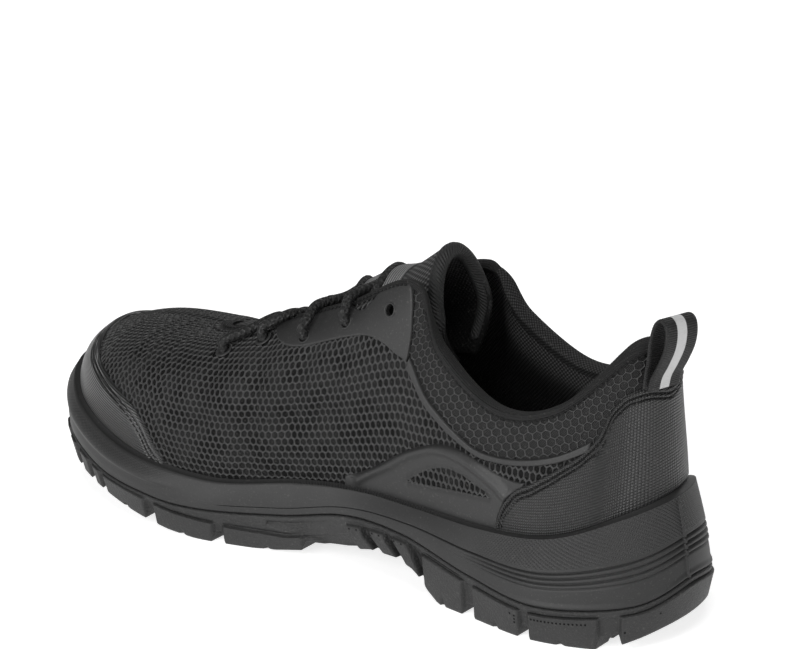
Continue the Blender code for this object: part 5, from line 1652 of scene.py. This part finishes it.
for row in MIDSOLE_ROWS:
    f = row ** (np.log(line) / np.log(LINE_HEEL))
    reach = (np.sin(0.5 * np.pi * f) * (1 - 0.6 * heel) + 0.6 * heel * f)[:, None]
    level = shoulder + (edge - shoulder) * np.concatenate([reach, reach, f[:, None]], 1)
    on_toe = TOE_KNURL * ramp(side, *KNURL_TOE) * (1 - ramp(f, *KNURL_FADE))
    knurl_marks.append(np.maximum(1 - ramp(side, *KNURL_END), on_toe))
    # painted shade: rows near the top of the toe's wall are marked to be painted darker, fading down the wall
    crook_shade_marks.append(front * (1 - ramp(f, *CROOK_SHADE_FADE)))
    groove = RIB_DEPTH * (bead(row, WAIST_GROOVE, *WAIST_CUT) * np.maximum(heel, waist)
                          + sum(bead(row, at, *HEEL_CUT) for at in HEEL_GROOVES) * heel)
    step = HEEL_STEP * ramp(row, *STEP_START) * (1 - ramp(row, *STEP_END)) * heel
    push = TOE_PROUD * toe * straight_line(PROUD_AT, f) - groove - step + mould * ramp(row, 0.0, 0.1)
    rings.append(level + plan_normal(SOLE, "edge", s) * push[:, None])
last_wall = len(rings)
rings.extend(parting_rings(s, 0.0))
points = np.stack(rings, 1)
quads, corners = grid_quads(len(s), len(rings), True, False)
closing_faces = across_ring(points, 0) + across_ring(points, len(rings) - 1)
knurled, ribbed, crook_shade = (np.zeros(points.shape[:2]) for _ in range(3))
# painted shade: the lip and cove at the toe, in the crook under the cap, are marked to be painted darker
crook_shade[:, :first_wall] = front[:, None]
crook_shade[:, first_wall:last_wall] = np.stack(crook_shade_marks, 1)
knurled[:, first_wall:first_wall + len(KNURL_ROWS)] = np.stack(knurl_marks[:len(KNURL_ROWS)], 1)
ribbed[:, first_lip + 1:first_wall - 1] = between(side, 3.9, 5.9, 0.4)[:, None]
midsole = piece("midsole_foam", points.reshape(-1, 3), [quads] + closing_faces, FINISHES["foam"],
                grid_lengths(points, True, False), [corners] + [0 * f for f in closing_faces],
                ("midsole",), weld=True, marks={"knurled": knurled, "ribbed": ribbed, "crook_shade": crook_shade})
print("midsole:", len(midsole.data.polygons), "faces")

# %% Outsole
SIDE_LUGS = ((1.38, 2.11), (2.23, 2.92), (3.07, 3.70), (5.67, 6.62), (6.73, 7.49), (7.63, 8.30), (8.36, 8.49),
             (8.57, 8.75), (8.86, 9.05), (9.18, 9.38), (9.52, 9.68))
WIDE_LUGS = SIDE_LUGS[:6]  # these have a notch, and a lug beside them in the middle of the tread
BACK_LUG_END, TOE_LUG_START = 1.15, 9.76
LUG_SOFT, NOTCH_HALF = 0.026, 0.022
LUG_TOP = ((3.6, 3.0), (4.2, 5.0), (5.4, 9.0), (5.9, 9.0), (6.6, 6.0), (6.75, 5.0), (7.5, 2.3), (8.0, 1.3))
SLOT_LUG = 3.13, 3.66  # the slot over the front heel lug
WAIST_RIBS = ((3.83, 4.05), (4.21, 4.44), (4.61, 4.85))
RIB_SLANT = 0.24  # a waist rib leans by this many stations over the wall's height
RIB_PROUD, RIB_SOFT, RIB_DROP, RIB_GAP = 1.9, 0.016, 0.6, 0.17
PANEL_EDGE = ((4.86, 1.10), (5.36, 1.00), (5.42, 0.82), (5.58, 0.69), (5.70, 0.345), (5.76, 0.30),
              (5.95, 0.22), (6.14, 0.14))  # lower edge of the smooth panel in the waist, by station
PANEL_TIP, PANEL_TOP, PANEL_DEEP = 6.14, 0.08, 1.1
LEDGE_AT = 0.35  # share of the wall's rows above the ledge where the lugs start
WALL_STEPS = {  # rows of the wall where a form sets in or ends, 0 at the parting line and 1 at the foot
    "lug": (0.335, 0.365), "rib": (0.10, 0.14), "between": (0.34, 0.42), "between_end": (0.90, 1.0),
    "gap": (0.10, 0.2), "gap_end": (0.92, 1.0), "notch": (0.80, 0.95), "foot": (0.93, 1.0),
}
OVER_LUG, OVER_LUG_END = (0.315, 0.028, 0.9), (7.2, 7.7)  # bead of the cut above a lug, and stations
SLOT_BEAD, SLOT_SOFT = (0.17, 0.045, 1.0), 0.02
BETWEEN_DEEP, GAP_DEEP, SLOT_DEEP, NOTCH_DEEP, NOTCH_RISE, FOOT_ROUND = 0.5, 1.3, 1.1, 0.9, 1.3, 0.35
LEDGE_INSET, LEDGE_CLEAR, LEDGE_LEAST, LIP_DROP = 0.3, 1.5, 1.3, 0.7
FRONT_TUCK, TUCK_FRONT, TUCK_BACK = 0.8, (6.6, 7.9), (0.4, 1.3)
PANEL_FADE = 4.7, 5.6
WALL_T = np.r_[0.0, 0.04, 0.07, 0.09, 0.105, 0.12, 0.14, 0.165, 0.19, 0.22, 0.25, 0.28, 0.30, 0.315, 0.33,
               0.345, 0.358, 0.372, 0.39, np.linspace(0.42, 0.86, 12), 0.89, 0.92, 0.945, 0.965, 0.985, 1.0]

lug_middles = np.array(WIDE_LUGS).mean(1)
crowded = np.r_[np.ravel(SIDE_LUGS), lug_middles, BACK_LUG_END, TOE_LUG_START, PANEL_TIP]
outsole_side = crowd(np.linspace(0, 10, 150), crowded, 0.045, 11)
outsole_side = crowd(outsole_side, np.ravel(WAIST_RIBS), 0.05, 13)
s = both_sides(outsole_side)
side = side_station(s)


def lugs_along(side, lugs, soft=LUG_SOFT):
    """1 on the lugs and 0 between them, with soft steps."""
    return np.max([between(side, a, b, soft) for a, b in lugs], 0)


def end_lugs(side):
    """1 on the two lugs at the heel's back and at the toe tip."""
    return np.maximum(1 - ramp(side, BACK_LUG_END - LUG_SOFT, BACK_LUG_END + LUG_SOFT),
                      ramp(side, TOE_LUG_START - LUG_SOFT, TOE_LUG_START + LUG_SOFT))


def leaning(t):
    """Stations of one row of the wall: in the waist each column leans, and the ribs' edges follow columns."""
    at = side - RIB_SLANT * between(side, 3.75, 5.0, 0.12) * (t - 0.6)
    return np.where(s <= 10, at, TURN - at)


on_lug = np.maximum(lugs_along(side, SIDE_LUGS), end_lugs(side))
on_rib = lugs_along(side, WAIST_RIBS, RIB_SOFT)
rib_gap = np.max([np.where(side < a, np.clip(1 - (a - side) / RIB_GAP, 0, 1), 0) for a, _ in WAIST_RIBS], 0)
rib_gap = rib_gap * (1 - on_rib)
notches = np.max([bead(side, m, NOTCH_HALF, 1.0) for m in lug_middles], 0) * on_lug
ledge_drop = straight_line(LUG_TOP, side)
tuck = 1 + np.maximum(FRONT_TUCK * ramp(side, *TUCK_FRONT), 1 - ramp(side, *TUCK_BACK))
panel_side = between(side, WAIST_RIBS[-1][1], PANEL_TIP, 0.014)
panel_edge = straight_line(PANEL_EDGE, side)

rings = parting_rings(leaning(0.0), GAP)[::-1]
first_wall = len(rings)
for t in WALL_T:
    row_s = leaning(t)
    parting = parting_line(row_s)
    groove = ground(loop_spline(SOLE["edge_x"], row_s), "groove_z")
    ledge = np.minimum(np.maximum(parting - ledge_drop, groove + LEDGE_CLEAR), parting - LEDGE_LEAST)
    ledge_ring = sole_edge(row_s, LEDGE_INSET + 0 * s, ledge)
    if t <= LEDGE_AT:
        lip_ring = sole_edge(row_s, 0 * s, parting - GAP - LIP_DROP)
        level = lip_ring + (ledge_ring - lip_ring) * t / LEDGE_AT
    else:
        foot = sole_edge(row_s, FOOT_INSET * tuck, groove)
        foot_groove, foot_lug = ground(foot[:, 0], "groove_z"), ground(foot[:, 0], "lug_z")
        lug_deep = np.minimum(foot_lug, foot_groove) - foot_groove
        foot[:, 2] = foot_groove + lug_deep * on_lug - RIB_DROP * on_rib
        level = ledge_ring + (foot - ledge_ring) * (t - LEDGE_AT) / (1 - LEDGE_AT)
    panel = panel_side * between(t, PANEL_TOP, panel_edge, 0.018)
    raised = on_lug * (1 - panel)
    at_row = {name: ramp(t, *ends) for name, ends in WALL_STEPS.items()}
    stand = LUG_PROUD * raised * at_row["lug"] + RIB_PROUD * on_rib * at_row["rib"]
    over_lug = raised * bead(t, *OVER_LUG) * (1 - ramp(side, *OVER_LUG_END))
    back = BETWEEN_DEEP * (1 - np.maximum(on_lug, on_rib)) * at_row["between"] * (1 - at_row["between_end"])
    back = back + GAP_DEEP * rib_gap * at_row["gap"] * (1 - at_row["gap_end"])
    slot = SLOT_DEEP * between(side, *SLOT_LUG, SLOT_SOFT) * bead(t, *SLOT_BEAD)
    recess = PANEL_DEEP * panel * ramp(side, *PANEL_FADE)
    cuts = NOTCH_DEEP * notches * at_row["notch"] + FOOT_ROUND * at_row["foot"] ** 2
    push = stand - over_lug - back - slot - recess - cuts
    rings.append(level + plan_normal(SOLE, "edge", row_s) * push[:, None])
rings[-1][:, 2] += NOTCH_RISE * notches
points = np.stack(rings, 1)
quads, _ = grid_quads(len(s), len(rings), True, False)
print("outsole's wall:", len(rings), "rings of", len(s), "points")

# %% Tread
EDGE_BAND, CENTRE_BAND, BAND_SOFT = (0.30, 0.70), (0.37, 0.63), 0.008  # shares of the sole's width
SIPES, SIPE_DEEP = (0.15, 0.85), 0.35  # thin cuts along the edge lugs
half = len(outsole_side)
fine_share = crowd(np.linspace(0, 1, 3), EDGE_BAND[:1] + CENTRE_BAND + EDGE_BAND[1:], 0.02, 7)
share = np.unique(np.r_[np.linspace(0, 1, 41), fine_share].round(4))
from_edge = np.minimum(share, 1 - share)
near_foot = rings[-1][:half]
far_foot = np.concatenate([rings[-1][:1], rings[-1][:half - 1:-1], rings[-1][half - 1:half]])
under = near_foot[:, None] + (far_foot - near_foot)[:, None] * share[None, :, None]
column = outsole_side[:, None]
tread = np.max([lugs_along(column, SIDE_LUGS) * (1 - between(share, *EDGE_BAND, BAND_SOFT)),
                lugs_along(column, WIDE_LUGS) * between(share, *CENTRE_BAND, BAND_SOFT),
                end_lugs(column) + 0 * share], 0)
sipes = np.max([bead(share, at, 0.008, 1) for at in SIPES], 0) * (1 - end_lugs(column))
low = ground(under[..., 0], "groove_z")
tread_z = low + (np.minimum(ground(under[..., 0], "lug_z"), low) - low) * tread * (1 - SIPE_DEEP * sipes)
tread_z = tread_z - RIB_DROP * lugs_along(column, WAIST_RIBS, RIB_SOFT) * (1 - ramp(from_edge, 0.03, 0.05))
fade = ramp(from_edge, 0.0, 0.02)
under[..., 2] = under[..., 2] * (1 - fade) + tread_z * fade
under_quads, _ = grid_quads(half, len(share))
outsole = piece("outsole_rubber", np.concatenate([points.reshape(-1, 3), under.reshape(-1, 3)]),
                [quads] + across_ring(points, 0) + [under_quads + len(points) * len(rings)],
                FINISHES["rubber"], replaces=("outsole",), weld=True)
print("outsole:", len(outsole.data.polygons), "faces")

# %% [markdown]
# ## Pinholes
# Air leaves the mould through pins, and the rubber keeps their marks: a row of dots under the top of the
# rear heel lug and a few more on the other lugs and ribs. Each is a small, nearly flat dark dish of eight
# faces on the wall's own grid, its dark colour painted shade of the hole, and all of them are one mesh.

# %% Pinholes
PIN_R, PIN_LIFT, PIN_DISH, PIN_FACES = 0.42, 0.04, 0.2, 8
PINS = np.concatenate([np.c_[np.linspace(1.50, 2.06, 15), np.full(15, 0.46)],
                       [(2.28, 0.50), (2.28, 0.58), (2.28, 0.66), (2.34, 0.48), (0.62, 0.55), (1.10, 0.72)],
                       [(r + d, 0.19) for r in (3.89, 4.27, 4.67) for d in (0.0, 0.12)]])
pin_row = np.interp(PINS[:, 0], outsole_side, np.arange(half))
pin_row = np.concatenate([pin_row, len(s) - pin_row])
pin_column = np.tile(np.interp(PINS[:, 1], WALL_T, np.arange(len(WALL_T))) + first_wall, 2)


def wall_point(row, column):
    """Place on the outsole's wall between four points of its grid."""
    return np.stack([bilinear(points[..., k], row, column) for k in range(3)], -1)[:, None]


pin_middle = wall_point(pin_row, pin_column)
pin_along = unit(wall_point(pin_row + 1, pin_column) - wall_point(pin_row - 1, pin_column))
pin_down = wall_point(pin_row, pin_column + 1) - wall_point(pin_row, pin_column - 1)
pin_out = unit(np.cross(pin_along, pin_down))
turn = np.arange(PIN_FACES)
pin_turn = (turn * 2 * np.pi / PIN_FACES)[None, :, None]
ring = np.cos(pin_turn) * pin_along + np.sin(pin_turn) * np.cross(pin_out, pin_along)
dishes = np.concatenate([pin_middle - PIN_DISH * PIN_LIFT * pin_out,
                         pin_middle + PIN_LIFT * pin_out + PIN_R * ring], 1)
fan = np.stack([0 * turn, 1 + turn, 1 + (turn + 1) % PIN_FACES], -1)
start = (PIN_FACES + 1) * np.arange(len(dishes))[:, None, None]
piece("mould_pinholes", dishes.reshape(-1, 3), [(fan[None] + start).reshape(-1, 3)], FINISHES["pinhole"])
print("pinholes:", len(dishes))

# %% [markdown]
# ## Size and finish
# The triangles of all shown pieces are counted.

# %% Close
total = sum(len(p.vertices) - 2 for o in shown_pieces() for p in o.data.polygons)
print("triangles:", total)
bpy.context.view_layer.update()
